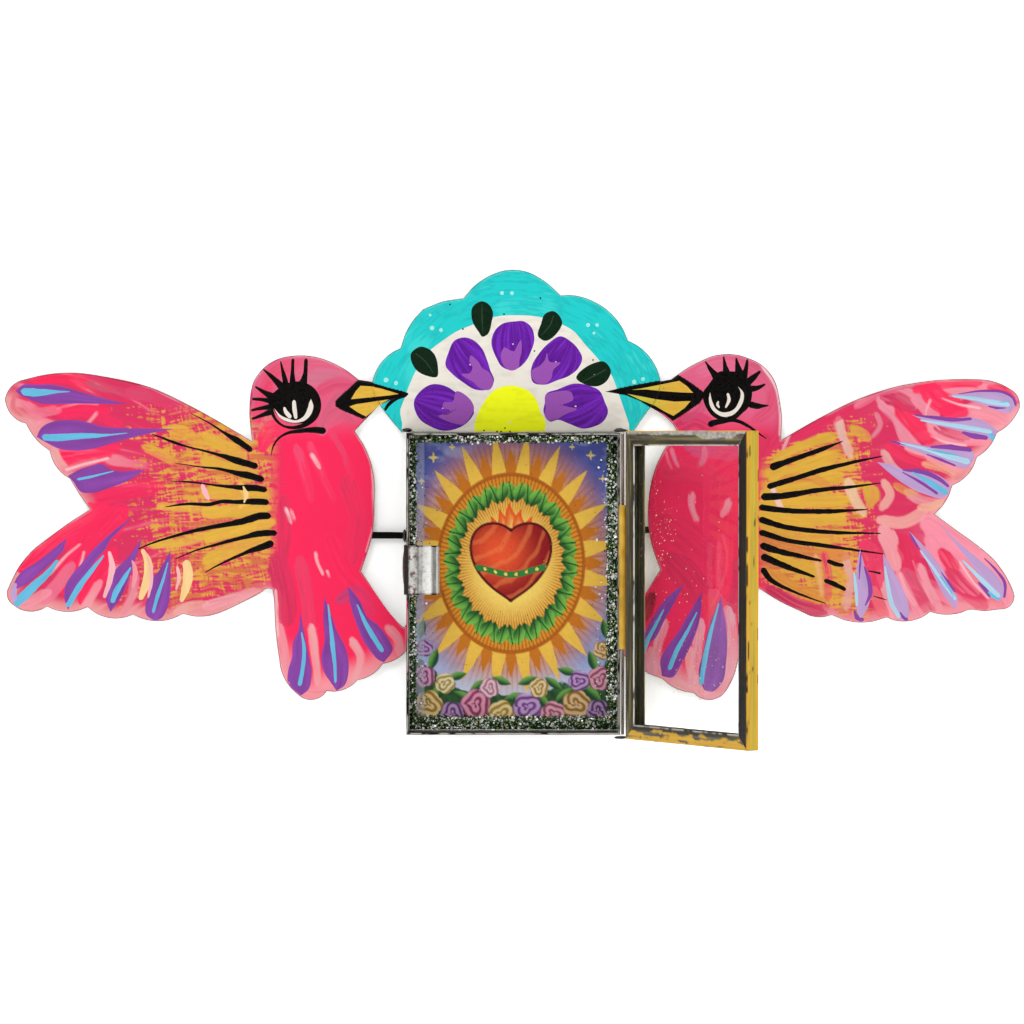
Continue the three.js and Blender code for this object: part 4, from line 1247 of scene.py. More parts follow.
RIGHT_INK = (
    (((770, 468), (782, 463.5), (800, 457), (820, 450), (843, 441)), (3.8, 2.6, 2.2, 2, 0.4)),
    (((767, 487), (790, 480), (820, 470.5), (850, 463), (883, 456)), (2.8, 2.4, 2.4, 1.6, 0.4)),
    (((761, 497), (782, 496), (820, 490), (850, 487), (881, 483)), (3.4, 3, 2.2, 1.4, 0.4)),
    (((759, 507), (785, 510.5), (820, 511.5), (868, 509.5)), (3, 2.4, 2.2, 0.4)),
    (((759, 519), (785, 527), (820, 531.5), (881, 533.5)), (3, 2.3, 1.7, 0.5)),
    (((759, 532), (790, 541), (820, 545), (855, 550), (884, 554)), (2.9, 2.2, 2, 1.2, 0.5)),
    (((760, 545), (778, 551), (800, 556), (822, 561)), (3.6, 2.8, 2.1, 1)),
    (((761, 556), (785, 566), (815, 577)), (3.6, 2.6, 1.1)),
    (((762, 568), (770, 579), (790, 590), (810, 598), (826, 603.5)), (3, 2.2, 1.3, 0.9, 0.4)),
    (((827, 560.5), (834, 563.5), (844, 565.5)), (2, 2.2, 1.6)),
    (((824, 580), (834, 584), (846, 590)), (2, 2.4, 1.6)),
    (((868, 571), (874, 572), (881, 573.5)), (0.5, 0.8, 1)),
    (((873, 596), (880, 598), (887, 600)), (0.3, 0.6, 0.3)),
)
RIGHT_DISC = (
    (703, 392), (708, 385), (713, 378), (718, 372), (730, 371), (742, 373), (748, 379), (752, 388),
    (752, 398), (749, 407), (742, 414), (735, 420), (722, 421), (712, 416), (706, 408), (703, 400),
)
RIGHT_WHITE = (
    (
        (710, 392), (708.5, 400), (711, 409), (716, 414), (724, 417.5), (732, 416), (739, 410),
        (743.5, 402), (744, 393), (738, 386.5),
    ),
    (
        (710, 392), (713, 402), (716, 408), (720, 411), (727, 411.5), (734, 408.5), (738, 402), (740, 396),
        (740, 391), (738, 386.5),
    ),
)
RIGHT_GLINTS = (
    (((718.5, 401), (717.5, 404), (719.5, 408)), (1.2, 1.8, 1)),
    (((727.5, 393), (729, 399), (725.5, 408)), (1.6, 2.4, 1.2)),
)
RIGHT_LASHES = (
    (((719, 380), (711, 370), (705, 361)), (6, 2.6, 0.6)),
    (((727, 376), (725, 366), (723.5, 356)), (5, 2.3, 0.7)),
    (((740, 376), (738, 368), (736, 357.5)), (5.4, 3, 0.7)),
    (((743, 380), (746, 369), (747.5, 359)), (5, 2.6, 1)),
    (((744, 386), (754, 377), (760.5, 371)), (5, 3.4, 1.4)),
    (((748, 389), (757, 388), (765.5, 384)), (4, 2.6, 1)),
    (((748, 404), (757, 406), (769, 405.5)), (4, 3, 0.5)),
    (
        ((708, 425), (714, 423), (722, 421.5), (735, 420.5), (748, 426), (758, 433), (767, 439)),
        (3.8, 2.8, 2, 1.9, 1.6, 1.1, 0.4),
    ),
)
RIGHT_BEAK = (
    (603, 391.5), (620, 388), (640, 384), (660, 380.5), (678, 374.5), (690, 382), (703, 391.5), (705, 396),
    (700, 403), (690, 410), (678, 418), (673, 421), (664, 414), (650, 407.5), (640, 401), (625, 395),
)
RIGHT_BEAK_TOP = (
    (630, 390), (640, 388.5), (655, 385.5), (670, 382.5), (680, 380.5), (688, 386), (694.5, 393),
    (680, 392.5), (660, 391), (645, 389.5),
)
RIGHT_BEAK_LOW = (
    (626, 393.5), (640, 396), (655, 399), (675, 401.5), (692, 401), (686, 408), (674, 416.5), (665, 412),
    (655, 406), (640, 400),
)

# Crown, in the photograph's pixels

CROWN_HEART = (516, 432)
ARCH = (
    (401, 424), (399, 411.6), (403.7, 397.4), (409, 383), (414.7, 370.5), (430.5, 348.4), (439, 342),
    (456.6, 330.3), (471.6, 324), (493.7, 316), (520.5, 314.2), (540.3, 316), (564, 324), (573.4, 329.5),
    (586, 343.7), (598.7, 358), (612, 373.7), (619, 391), (624, 405.3), (630.3, 424.2), (632, 450),
    (399, 450),
)
DOME = (
    (472.5, 434), (473.3, 423), (480, 406), (490, 392), (498, 386.5), (508, 384), (520, 385.3),
    (531, 390.8), (538.5, 400.5), (542, 412), (547, 421), (547, 428), (545, 450), (472.5, 450),
)
PETALS = (
    (
        (413, 402), (432, 383.5), (447, 386), (455, 391), (466, 400.5), (475, 412), (469, 422), (458, 429),
        (441, 431), (430, 427), (419, 419.5),
    ),
    (
        (445, 366), (448, 351.6), (454, 340), (464.5, 336.6), (474, 339.7), (482.6, 348.4), (488, 361),
        (491, 370.5), (494.8, 381.6), (487.4, 390.3), (475.5, 390.3), (463, 383), (452, 374.5),
    ),
    (
        (490.8, 340.5), (496, 328), (502.4, 323), (514, 320.8), (524.5, 320.8), (531.6, 326.3), (535, 339),
        (531.6, 351.6), (526, 362), (516.6, 369.7), (508, 370.5), (501.6, 367.4), (496, 358.7),
    ),
    (
        (560.8, 335.5), (571.8, 341.3), (579.7, 350), (583, 358), (579.7, 367.4), (570, 376),
        (557.6, 380.8), (543.4, 385.5), (532.4, 383), (530, 373.7), (530.8, 367.4), (538.7, 353),
        (548, 343),
    ),
    (
        (545, 394), (557.6, 388.7), (575, 382.8), (590.8, 385.5), (600, 390), (605.8, 402), (609, 411.6),
        (603.4, 422.6), (594, 427.4), (583.7, 429.3), (568.7, 424.2), (556.8, 420.3), (549.7, 422.2),
        (542.6, 412.4), (544, 402),
    ),
)
TONGUES = (
    (
        (456, 391), (469, 397.5), (474.5, 407.5), (471, 417.5), (464, 425), (452.5, 424), (437.5, 416),
        (447.5, 415), (450, 411), (442, 407.5), (442.5, 402.5), (452.5, 401),
    ),
    (
        (470, 354.5), (477.5, 360), (482.5, 367.5), (490, 372.5), (494, 382.5), (490, 390), (482.5, 390),
        (472.5, 382.5), (461, 374), (470, 372.5), (472, 367.5), (469, 360),
    ),
    (
        (521, 339.5), (522, 352.5), (520, 360), (519, 367.5), (512.5, 371), (506, 369), (502, 364),
        (500.5, 352.5), (504, 347), (510, 350), (514, 351), (517.5, 345),
    ),
    (
        (547, 352), (549.5, 361), (561, 362.5), (554, 370), (551, 380), (545, 385), (533, 381), (531, 371),
        (540, 365), (545, 359),
    ),
    (
        (545, 395), (555, 391), (572.5, 392.5), (574, 399), (562.5, 405), (578, 409.5), (567.5, 414),
        (556, 420), (548, 421), (544, 415), (545, 407.5), (544.5, 402.5),
    ),
)
LEAVES = (
    ((411, 353), (420, 346.5), (433, 352), (438.4, 367.4), (437.6, 377), (426, 376), (417, 371)),
    (
        (481.8, 301), (472.4, 307), (471.6, 318.4), (478.7, 332.6), (482.6, 337.4), (486.6, 335.8),
        (492, 321.6), (493, 312), (488, 303.4),
    ),
    ((552.9, 310.8), (562.4, 323), (559, 331), (543.4, 341), (538.2, 337.4), (541, 323), (545, 313.7)),
    ((611, 370.5), (605, 361.8), (590.8, 364), (576, 379), (584.5, 384.7), (600, 386), (608, 380)),
)
LEAF_RIBS = (
    ((415, 353), (424, 360), (434, 374)),
    ((482, 304), (482, 318), (483, 334)),
    ((554, 315), (550, 325), (541, 336)),
    ((607, 369), (596, 375), (582, 382)),
)
CROWN_SPECKS = (
    (450, 304.5), (540.5, 298), (504, 314), (534.5, 351), (593, 360), (548, 367), (550, 369), (484, 430.5),
    (505, 428), (497, 431.5), (501, 431.5), (510, 431.5), (463, 329), (582, 372),
)
CROWN_DOTS = (
    ((502, 293), 1.6), ((512, 293), 1.6), ((432, 328), 1.8), ((441, 330), 1.5), ((430, 315), 1.1),
    ((588, 325), 1.6), ((597, 325), 1.5), ((594, 333), 1.1), ((386, 380), 2.0), ((396, 383), 1.7),
    ((634, 382), 1.9), ((643, 379), 1.6),
)
SPECK_RADIUS = 0.9
PETAL_BOW = 32.0


def paint_sheet(canvas, strokes):
    """Lays all broad strokes, then a painted highlight and a thin dark line along the sheet's rim."""
    for code, width, dry, path in strokes:
        canvas.stroke(code, width, dry, path)
    rim = canvas.rim
    thin = ripple(canvas.px / 30, canvas.py / 30, 91, 2)
    # Painted highlight: a pale, broken line along the rim, where the bent edge catches the light.
    canvas.coat(PALE_BLUSH, RIM_HIGHLIGHT * (1 - ease(rim, 0.6, 2.0)) * ease(thin, 0.35, 0.65))
    # A thin dark line right at the rim.
    canvas.coat(0x42262A, 0.8 * (1 - ease(rim, 0.0, 0.9)))


def left_bird_ground(canvas):
    """Hot pink body, crimson wing with pale scalloped tips, dry ochre towards the wing's root and a dusty
    head."""
    px, py = canvas.px, canvas.py
    streak, reach = feathered(canvas, LEFT_ROOT, 11)
    wing = 1 - ease(px, 262, 292)
    canvas.coat(CRIMSON, wing)
    canvas.coat(0xE8486E, wing * ease(streak, 0.45, 0.75) * 0.6)
    outer = ease(reach, 120, 200) * wing
    canvas.coat(BLUSH, outer * ease(streak, 0.62, 0.74) * 0.7)
    scallop = 1 - ease(canvas.rim, 3, 13 + 6 * streak)
    tips = scallop * wing * ease(120 - px + 0.5 * (py - 560), -20, 20) * ease(py, 385, 400)
    lower = scallop * wing * ease(py, 575, 600)
    canvas.coat(0xE39A9A, np.maximum(tips, lower) * 0.85)
    density = 0.86 * ease(px, 84, 215) * ease(py, 396, 416) * (1 - ease(py + 0.25 * px, 630, 676))
    weave = woven(px, py, 21)
    ochre = mix(ORANGE, OCHRE, ease(ripple(px / 15, py / 3.4, 23, 3), 0.34, 0.58))
    weight = ease(weave, 0.76 - 0.46 * density, 0.84 - 0.42 * density) * ease(density, 0, 0.15)
    canvas.coat(ochre, weight * (1 - ease(px, 262, 282)) * 0.9)
    head = (1 - ease(py, 405, 445)) * ease(px, 245, 255)
    canvas.coat(0xDC5C80, head * 0.9)
    canvas.coat(canvas.ground, ease(px, 285, 300) * (1 - ease(px, 345, 372)) * ease(py, 430, 450) * 0.6)
    tail = ease(py, 632, 672) * (1 - ease(canvas.rim, 5, 24 + 8 * streak))
    canvas.coat(0xEE9CA2, tail * (1 - wing) * 0.85)


def right_bird_ground(canvas):
    """The same paints on the mirrored bird: crimson body, salmon outer feathers and ochre at the wing's
    root."""
    px, py = canvas.px, canvas.py
    streak, reach = feathered(canvas, RIGHT_ROOT, 31)
    wing = ease(px, 752, 780)
    canvas.coat(CRIMSON, 0.35 + 0.65 * wing)
    canvas.coat(0xD83C62, wing * ease(streak, 0.4, 0.7) * 0.6)
    outer = ease(reach, 165, 250) * wing
    canvas.coat(0xEC8A9C, outer * ease(streak, 0.42, 0.6) * 0.85)
    tips = wing * (1 - ease(canvas.rim, 3, 13)) * ease(px, 870, 900) * ease(py, 400, 415)
    canvas.coat(0xEFA0A6, tips * 0.8)
    canvas.coat(0xE88C98, wing * (1 - ease(canvas.rim, 3, 14)) * ease(py, 580, 600) * 0.8)
    density = ease(py + 0.42 * (px - 780), 440, 458) * (1 - ease(py - 0.4 * (px - 770), 578, 592))
    density = density * (1 - ease(px, 826, 900))
    weave = woven(px, py, 41)
    ochre = mix(ORANGE, OCHRE, ease(ripple(px / 17, py / 3.4, 43, 3), 0.3, 0.52))
    weight = ease(weave, 0.77 - 0.5 * density, 0.85 - 0.46 * density) * ease(density, 0, 0.15)
    canvas.coat(ochre, weight * ease(px, 756, 768) * 0.92)
    canvas.coat(0xDC6286, (1 - ease(py, 410, 440)) * (1 - ease(px, 772, 784)) * 0.9)
    tail = ease(py, 622, 668) * (1 - ease(canvas.rim, 6, 26 + 8 * streak))
    canvas.coat(0xE8A0AC, tail * (1 - wing) * 0.85)


def paint_eye(gathered, sheet, disc, white, glints, lashes, ring=None):
    """A black eye disc with lashes and a brow line, a white crescent and two glints."""
    blob(gathered, sheet, disc, INK)
    for path, halves in lashes:
        brush_line(gathered, sheet, INK, path, halves)
    if ring:
        between(gathered, sheet, *ring, paint(0xE05070), lift=1.6)
    between(gathered, sheet, *white, BONE, lift=1.7)
    for path, halves in glints:
        brush_line(gathered, sheet, BONE, path, halves, lift=1.7)


def beak_colour(green_edge, yellow_edge):
    """Colour of a beak's facet: greenish at one pixel column and ochre yellow at the other."""

    def tone(px, py):
        hair = 0.9 + 0.2 * ripple(px / 9, py / 1.6, 61, 2)
        return mix(BEAK_GREEN, BEAK_YELLOW, ease(px, green_edge, yellow_edge)) * hair[:, None]

    return tone


BEAKS = (
    (LEFT_BEAK, (LEFT_BEAK_TOP, LEFT_BEAK_LOW), beak_colour(330, 345)),
    (RIGHT_BEAK, (RIGHT_BEAK_TOP, RIGHT_BEAK_LOW), beak_colour(640, 672)),
)


def paint_beak(gathered, sheet, canvas, base, facets, colour):
    """A black beak with two yellow facets, as films and, so that no seam shows at a rim, in the ground
    coat."""
    canvas.coat(INK, in_chunks(inside, canvas.spots, np.asarray(base, float)) * 1.0)
    blob(gathered, sheet, base, INK, smooth=False, lift=0.9)
    for facet in facets:
        cover = in_chunks(inside, canvas.spots, np.asarray(facet, float))
        canvas.colours[cover] = colour(canvas.px[cover], canvas.py[cover])
        blob(gathered, sheet, facet, colour, smooth=False, lift=1.5)


def ink_lines(lines):
    """Ink lines, each widened a little from its listed half widths."""
    return [(INK, path, np.asarray(halves) * INK_SWELL, 1.0) for path, halves in lines]


def make_bird(settings, paints, side, seeds, ground, strokes, feathers, lines, eye, beak):
    """A bird: its sheet with ground and broad strokes, and films of paint on it. Each feather is a tone and
    two edges, and each line a colour, a path, its half widths and its lift."""
    sheet = Sheet("bird_" + side, seeds[0])
    places, faces, bare = sheet.surfaces(settings.sheet_step)
    canvas = Canvas(sheet, places, settings.pink, seeds[1])
    ground(canvas)
    paint_sheet(canvas, strokes)
    films = Gathered()
    for tone, first, second in feathers:
        between(films, sheet, first, second, tone)
    for colour, path, halves, lift in lines:
        brush_line(films, sheet, colour, path, halves, lift=lift)
    paint_eye(films, sheet, *eye)
    paint_beak(films, sheet, canvas, *beak)
    sheet_paint, film_paint = paints
    films.build("brushwork_bird_" + side, film_paint, "shrine")
    make_piece(
        "painted_bird_" + side, places, faces, sheet_paint, "shrine", ("bird_" + side,),
        canvas.colours, bare,
    )


def make_left_bird(settings, paints):
    """The left bird: dark feathers, sky blue and pale dabs, and ink."""
    dark = streaked(settings.feather)
    feathers = [(dark, *edges) for edges in LEFT_FEATHERS]
    lines = [(SKY, *line, 1.6) for line in LEFT_SKY]
    lines += [(*line, 1.2) for line in LEFT_PALE] + ink_lines(LEFT_INK)
    strokes = LEFT_STROKES + LEFT_BODY_STROKES
    eye = (LEFT_DISC, LEFT_WHITE, LEFT_GLINTS, LEFT_LASHES, LEFT_RING)
    make_bird(
        settings, paints, "left", (3, 100), left_bird_ground, strokes, feathers, lines, eye, BEAKS[0]
    )


def make_right_bird(settings, paints):
    """The right bird: pale and dark feathers, deep purple and sky blue dabs, and ink."""
    tones = {"pale": streaked(LILAC, 0.85, 1.1), "deep": streaked(settings.feather)}
    feathers = [(tones[tone], *edges) for tone, *edges in RIGHT_FEATHERS]
    lines = [(settings.feather, *line, 1.3) for line in RIGHT_DEEP]
    lines += [(*line, 1.6) for line in RIGHT_SKY] + ink_lines(RIGHT_INK)
    strokes = RIGHT_STROKES + RIGHT_BODY_STROKES
    eye = (RIGHT_DISC, RIGHT_WHITE, RIGHT_GLINTS, RIGHT_LASHES)
    make_bird(
        settings, paints, "right", (7, 300), right_bird_ground, strokes, feathers, lines, eye, BEAKS[1]
    )


def mottled(colour, seed):
    """A colour in patches a tenth darker."""

    def tone(px, py):
        patch = ease(ripple(px / 14, py / 5, seed, 3), 0.45, 0.75)
        return colour * (1 - 0.1 * patch)[:, None]

    return tone


def petal_colour(outline, colour):
    """A petal's purple, with brush lines that run the way it points and bow out from its middle line, as
    meridians do."""
    centre = np.mean(outline, axis=0)
    away = centre - np.asarray(CROWN_HEART)
    away /= np.hypot(*away)

    def tone(px, py):
        along = (px - centre[0]) * away[0] + (py - centre[1]) * away[1]
        side = (py - centre[1]) * away[0] - (px - centre[0]) * away[1]
        hair = bristles(along, side / (1.3 - (along / PETAL_BOW) ** 2), 0, int(centre[0]), 1.15, 28)
        dark = mix(np.asarray(colour) * 0.55, paint(0x8430D0), ease(hair, 0.3, 0.85))
        return mix(dark, colour, np.full(len(px), 0.4))

    return tone


def make_crown(settings, sheet_paint, film_paint):
    """The crown: teal rim, cream arch and yellow dome, with petals, leaves, dots and the tips of both
    beaks."""
    sheet = Sheet("crown", 5)
    places, faces, bare = sheet.surfaces(settings.sheet_step)
    canvas = Canvas(sheet, places, settings.teal, 500)
    px, py = canvas.px, canvas.py
    angle = np.arctan2(py - CROWN_HEART[1], px - CROWN_HEART[0])
    reach = np.hypot(px - CROWN_HEART[0], py - CROWN_HEART[1])
    hair = ripple(reach / 1.8, angle * 9 + 40, 51, 2)
    patch = ripple(px / 32, py / 24, 53, 2)
    canvas.coat(0x10B0B2, ease(hair * 0.55 + patch * 0.45, 0.42, 0.62) * 0.75)
    canvas.coat(0x3CDCD6, ease(patch * 0.6 + hair * 0.4, 0.52, 0.68) * 0.7)
    films = Gathered()
    arch = np.concatenate([smooth_path(ARCH[:-2], 160), ARCH[-2:]])
    dome = np.concatenate([smooth_path(DOME[:-2], 90), DOME[-2:]])
    cream, yellow = np.asarray(settings.cream), np.asarray(settings.yellow)
    for outline, colour, seed, lift in ((arch, cream, 57, 0.5), (dome, yellow, 58, 0.8)):
        cover = in_chunks(inside, canvas.spots, outline) & (rim_gap(canvas.spots, outline) > 1.6)
        canvas.coat(colour, cover * 1.0)
        blob(films, sheet, outline, mottled(colour, seed), lift=lift, step=1.5, smooth=False)
    thin = ease(ripple(px / 30, py / 30, 59, 2), 0.35, 0.6)
    # Painted highlight: a pale teal, broken line along the crown's rim.
    canvas.coat(0x8FE4DC, 0.55 * (1 - ease(canvas.rim, 0.5, 1.8)) * thin)
    # A thin dark line right at the rim.
    canvas.coat(0x1C4A4C, 0.8 * (1 - ease(canvas.rim, 0.0, 0.9)))
    for outline in PETALS:
        blob(films, sheet, outline, petal_colour(outline, settings.petal), lift=1.2)
    for outline in TONGUES:
        blob(films, sheet, outline, paint(0x9A52B0), lift=1.6)
    for outline, rib in zip(LEAVES, LEAF_RIBS):
        blob(films, sheet, outline, paint(0x0A2412), lift=1.2)
        brush_line(films, sheet, paint(0x24422A), rib, (0.8, 1.1, 0.4), lift=1.5)
    for centre, radius in CROWN_DOTS:
        dot(films, sheet, paint(0x9FE6E0), centre, radius * 1.25)
    for centre in CROWN_SPECKS:
        dot(films, sheet, INK, centre, SPECK_RADIUS)
    for beak in BEAKS:
        paint_beak(films, sheet, canvas, *beak)
    brush_line(films, sheet, INK, *LEFT_BEAK_EDGE)
    films.build("brushwork_crown", film_paint, "shrine")
    low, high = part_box("crown")
    flange_places, flange_faces = flange(low, high)
    count = len(places)
    places = np.concatenate([places, flange_places])
    faces.append(flange_faces + count)
    colours = np.concatenate([canvas.colours, np.tile(settings.cream, (len(flange_places), 1))])
    bare = np.concatenate([bare, np.ones(len(flange_places))])
    make_piece("painted_crown", places, faces, sheet_paint, "shrine", ("crown",), colours, bare)


def dot(gathered, sheet, colour, centre, radius):
    """A small round dab of paint."""
    turn = np.linspace(0, 2 * np.pi, 10, endpoint=False)
    uneven = radius * (0.85 + 0.3 * ripple(np.cos(turn) + centre[0], np.sin(turn) + centre[1], 67))
    outline = np.asarray(centre) + np.stack([np.cos(turn), np.sin(turn)], axis=1) * uneven[:, None]
    blob(gathered, sheet, outline, colour, step=0.5, lift=1.4)


def flange(low, high):
    """The crown's foot: a strip of tin folded back over the top of the box."""
    foot, top = low.z, low.z + TIN
    back, front = high.y, low.y + TIN
    x = np.linspace(BOX_LOW[0], BOX_HIGH[0], 60)
    section = np.array([(front, top), (back, top), (back, foot), (front, foot)])
    places = np.stack(
        [np.repeat(x, 4), np.tile(section[:, 0], len(x)), np.tile(section[:, 1], len(x))], axis=1
    )
    faces = grid_faces(len(x), 4, wrap_columns=True)
    ends = np.array([[0, 1, 2, 3], [len(places) - 1, len(places) - 2, len(places) - 3, len(places) - 4]])
    return places, np.concatenate([faces, ends])


# Print: a flaming heart in a sunburst, over a garland

PRINT_STEP = 0.36 * MM
PRINT_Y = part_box("print_card")[0].y
SUN = (-1.0, 8.0)
SUN_RADIUS = 31.0
SUN_SQUASH = 0.82
RAYS = 20
HEART_SIZE = 15.0
FLAMES = 5
WREATH = 25.0
WREATH_WIDTH = 7.6
WREATH_LEAVES = 22
CARD_CURL = 0.9 * MM
STARS = ((-34, 53, 2.2), (33, 54, 2.0), (-26, 57.5, 1.4), (25, 57.5, 1.3), (-39, 43, 1.5), (38, 44, 1.5))
BLOOMS = (
    (-36, -52, 6.2, 0xE0B23C), (-26, -56, 5.4, 0x9A4FA8), (-16, -52, 6.6, 0xD4548A),
    (-5, -56, 6.0, 0xE8C050), (6, -53, 6.4, 0xB06AC4), (17, -56, 5.6, 0xE07898), (27, -52, 6.4, 0xD8A038),
    (36, -55, 5.2, 0x8E4AA0), (-38, -40, 5.0, 0xC45C9C), (37, -41, 5.4, 0xD86C94),
    (-29, -43, 4.6, 0xE6CC78), (28, -42, 4.6, 0xA65CB8), (-38, -28, 4.0, 0x9E5AB0),
    (38, -29, 4.2, 0xDDAA48), (-10, -45, 4.4, 0xE4A0B8), (11, -45, 4.4, 0xE0B858),
)
BLOOM_LEAVES = (
    (-32, -47, 8, 40), (-21, -49, 7, -30), (-11, -51, 7, 60), (1, -49, 7, 10), (12, -50, 7, -50),
    (22, -48, 7, 35), (33, -47, 8, -40), (-34, -33, 7, 70), (34, -34, 7, -70), (-39, -20, 6, 80),
    (39, -20, 6, -80), (-24, -40, 6, 15), (23, -38, 6, -15), (-5, -42, 6, -20), (6, -42, 6, 20),
    (-15, -44, 6, 35), (17, -43, 6, -35),
)


def heart_gap(x, z):
    """How far outside the heart x^2 + z^2 - 1 = |x|^(2/3) z a place lies, below 0 inside: the curve's value
    over the length of its gradient."""
    wide = np.maximum(np.abs(x), 0.03)
    value = x**2 + z**2 - 1 - wide ** (2 / 3) * z
    slope_x = 2 * wide - 2 / 3 * wide ** (-1 / 3) * z
    slope_z = 2 * z - wide ** (2 / 3)
    return value / (np.hypot(slope_x, slope_z) + 0.1)


def leaf_weight(x, z, cx, cz, length, degrees):
    """1 inside a pointed leaf about (cx, cz), whose half width is a sine over its length; and how far a
    place lies across it."""
    turn = math.radians(degrees)
    along = ((x - cx) * math.cos(turn) + (z - cz) * math.sin(turn)) / length + 0.5
    across = (z - cz) * math.cos(turn) - (x - cx) * math.sin(turn)
    half = 0.2 * length * np.sin(np.pi * np.clip(along, 0, 1))
    return ease(half - np.abs(across), -0.25, 0.25) * (along > 0) * (along < 1), across


def print_sky(x, z):
    """The print's first coats: a dusk sky with clouds, paler towards its foot."""
    height = ease(z + 6 * ripple(x / 12, z / 6, 201, 3), -45, 60)
    picture = Coats(mix(paint(0x8098D4), paint(0x5660B0), height))
    cloud = ripple(x / 11 + 3, z / 7, 203, 4)
    picture.coat(0xB4BCE6, ease(cloud, 0.5, 0.72) * 0.6)
    picture.coat(0x3E4C96, ease(cloud, 0.42, 0.25) * 0.45)
    picture.coat(0xD4DAEE, ease(-z - 4 * cloud, 26, 46) * 0.85)
    return picture


def print_sun(picture, reach, angle):
    """A sun with long and short straight rays in a glow; reach and angle are measured from its middle."""
    beat, other = (np.abs((angle / (2 * np.pi) * RAYS + shift) % 1 - 0.5) * 2 for shift in (0, 0.5))
    glow = 1 - ease(reach, 33, 50)
    picture.coat(0xDE8E2C, glow * 0.85)
    combed = 0.5 + 0.5 * np.sin(angle * RAYS * 6)
    picture.coat(0x8C4A14, glow * ease(combed, 0.6, 0.95) * 0.55)
    for code, length, place in ((0xC8741E, 9, other), (0xEDBE4A, 15, beat)):
        picture.coat(code, ease(SUN_RADIUS + length * (1 - place * 1.6) - reach, -0.2, 0.2))
    disc = ease(SUN_RADIUS - reach, -0.2, 0.2)
    picture.coat(mix(paint(0xF4D66A), paint(0xDC8C24), ease(reach, 8, SUN_RADIUS)), disc)
    picture.coat(0xB4601A, ease(0.7 - np.abs(reach - SUN_RADIUS), -0.3, 0.3))
    picture.coat(0x9A5416, ease(combed, 0.5, 0.9) * disc * ease(reach, 14, 22) * 0.75)


def print_wreath(picture, reach, angle):
    """Two rings of slanted leaves about the sun's middle."""
    for ring in range(2):
        step = (angle / (2 * np.pi) * WREATH_LEAVES + 0.5 * ring) % 1 - 0.5
        along = (reach - WREATH + WREATH_WIDTH / 2) / WREATH_WIDTH
        slant = step - 0.22 * (along - 0.5) * (1 - 2 * ring)
        half = 0.36 * np.sin(np.pi * np.clip(along, 0, 1))
        cover = ease(half - np.abs(slant), -0.03, 0.03) * (along > 0) * (along < 1)
        green = mix(paint(0x1F5A2C), paint(0x74B84A), ease(along + 0.8 * slant, 0.1, 0.9))
        picture.coat(mix(green, paint(0x123A1C), ease(0.035 - np.abs(slant), -0.01, 0.02)), cover)


def print_flames(picture, dx, dz):
    """A fan of flames above the heart, the middle one the tallest."""
    for k in range(FLAMES):
        aside = k - FLAMES // 2
        fz = (dz - 9.5) / (17 - 3 * abs(aside))
        lean = aside * 0.32
        fx = (dx - lean * 10 - lean * 3 * fz + 0.7 * np.sin(fz * 7 + k)) / (4.2 - 0.3 * abs(aside))
        flame = ease(np.sin(np.pi * np.clip(fz, 0, 1) ** 0.7) * (1 - 0.45 * fz) - np.abs(fx), -0.04, 0.04)
        tint = mix(paint(0xF9E07A), paint(0xE0541E), ease(fz + 0.5 * np.abs(fx), 0.1, 0.9))
        picture.coat(tint, flame * (fz > 0) * (fz < 1))


def print_heart(picture, dx, dz):
    """The heart: folds of red in a dark outline, with a green band of golden pins."""
    hx, hz = dx / HEART_SIZE, (dz + 1.5) / HEART_SIZE
    gap = heart_gap(hx, hz)
    body = mix(paint(0xE8542C), paint(0x8E161C), ease(np.hypot(hx + 0.35, hz - 0.4), 0.1, 1.35))
    fold = np.sin(14 * np.hypot(hx + 1.2, hz - 1.6) + 3 * ripple(hx * 3 + 9, hz * 2 + 9, 207, 2))
    body = mix(body, paint(0xF0824A), ease(fold, 0.2, 1.0) * 0.4)
    picture.coat(body, ease(-gap, -0.01, 0.01))
    picture.coat(0x5A1014, ease(0.035 - np.abs(gap), -0.008, 0.008))
    level = hz + 0.12 + 0.1 * np.cos(hx * 3)
    picture.coat(0x2F7D3C, ((np.abs(level) < 0.09) & (gap < 0)) * 1.0)
    pin = np.hypot((hx * 3.4) % 1 - 0.5, level * 3.4)
    picture.coat(0xF2D060, ((pin < 0.16) & (gap < 0)) * 1.0)


def print_stars(picture, x, z):
    """Four-pointed stars."""
    for cx, cz, size in STARS:
        bend, far = np.arctan2(z - cz, x - cx), np.hypot(x - cx, z - cz) / size
        point = 0.42 + 0.58 * np.abs(np.cos(2 * bend)) ** 6
        picture.coat(0xF4D878, ease(point - far, -0.04, 0.04))


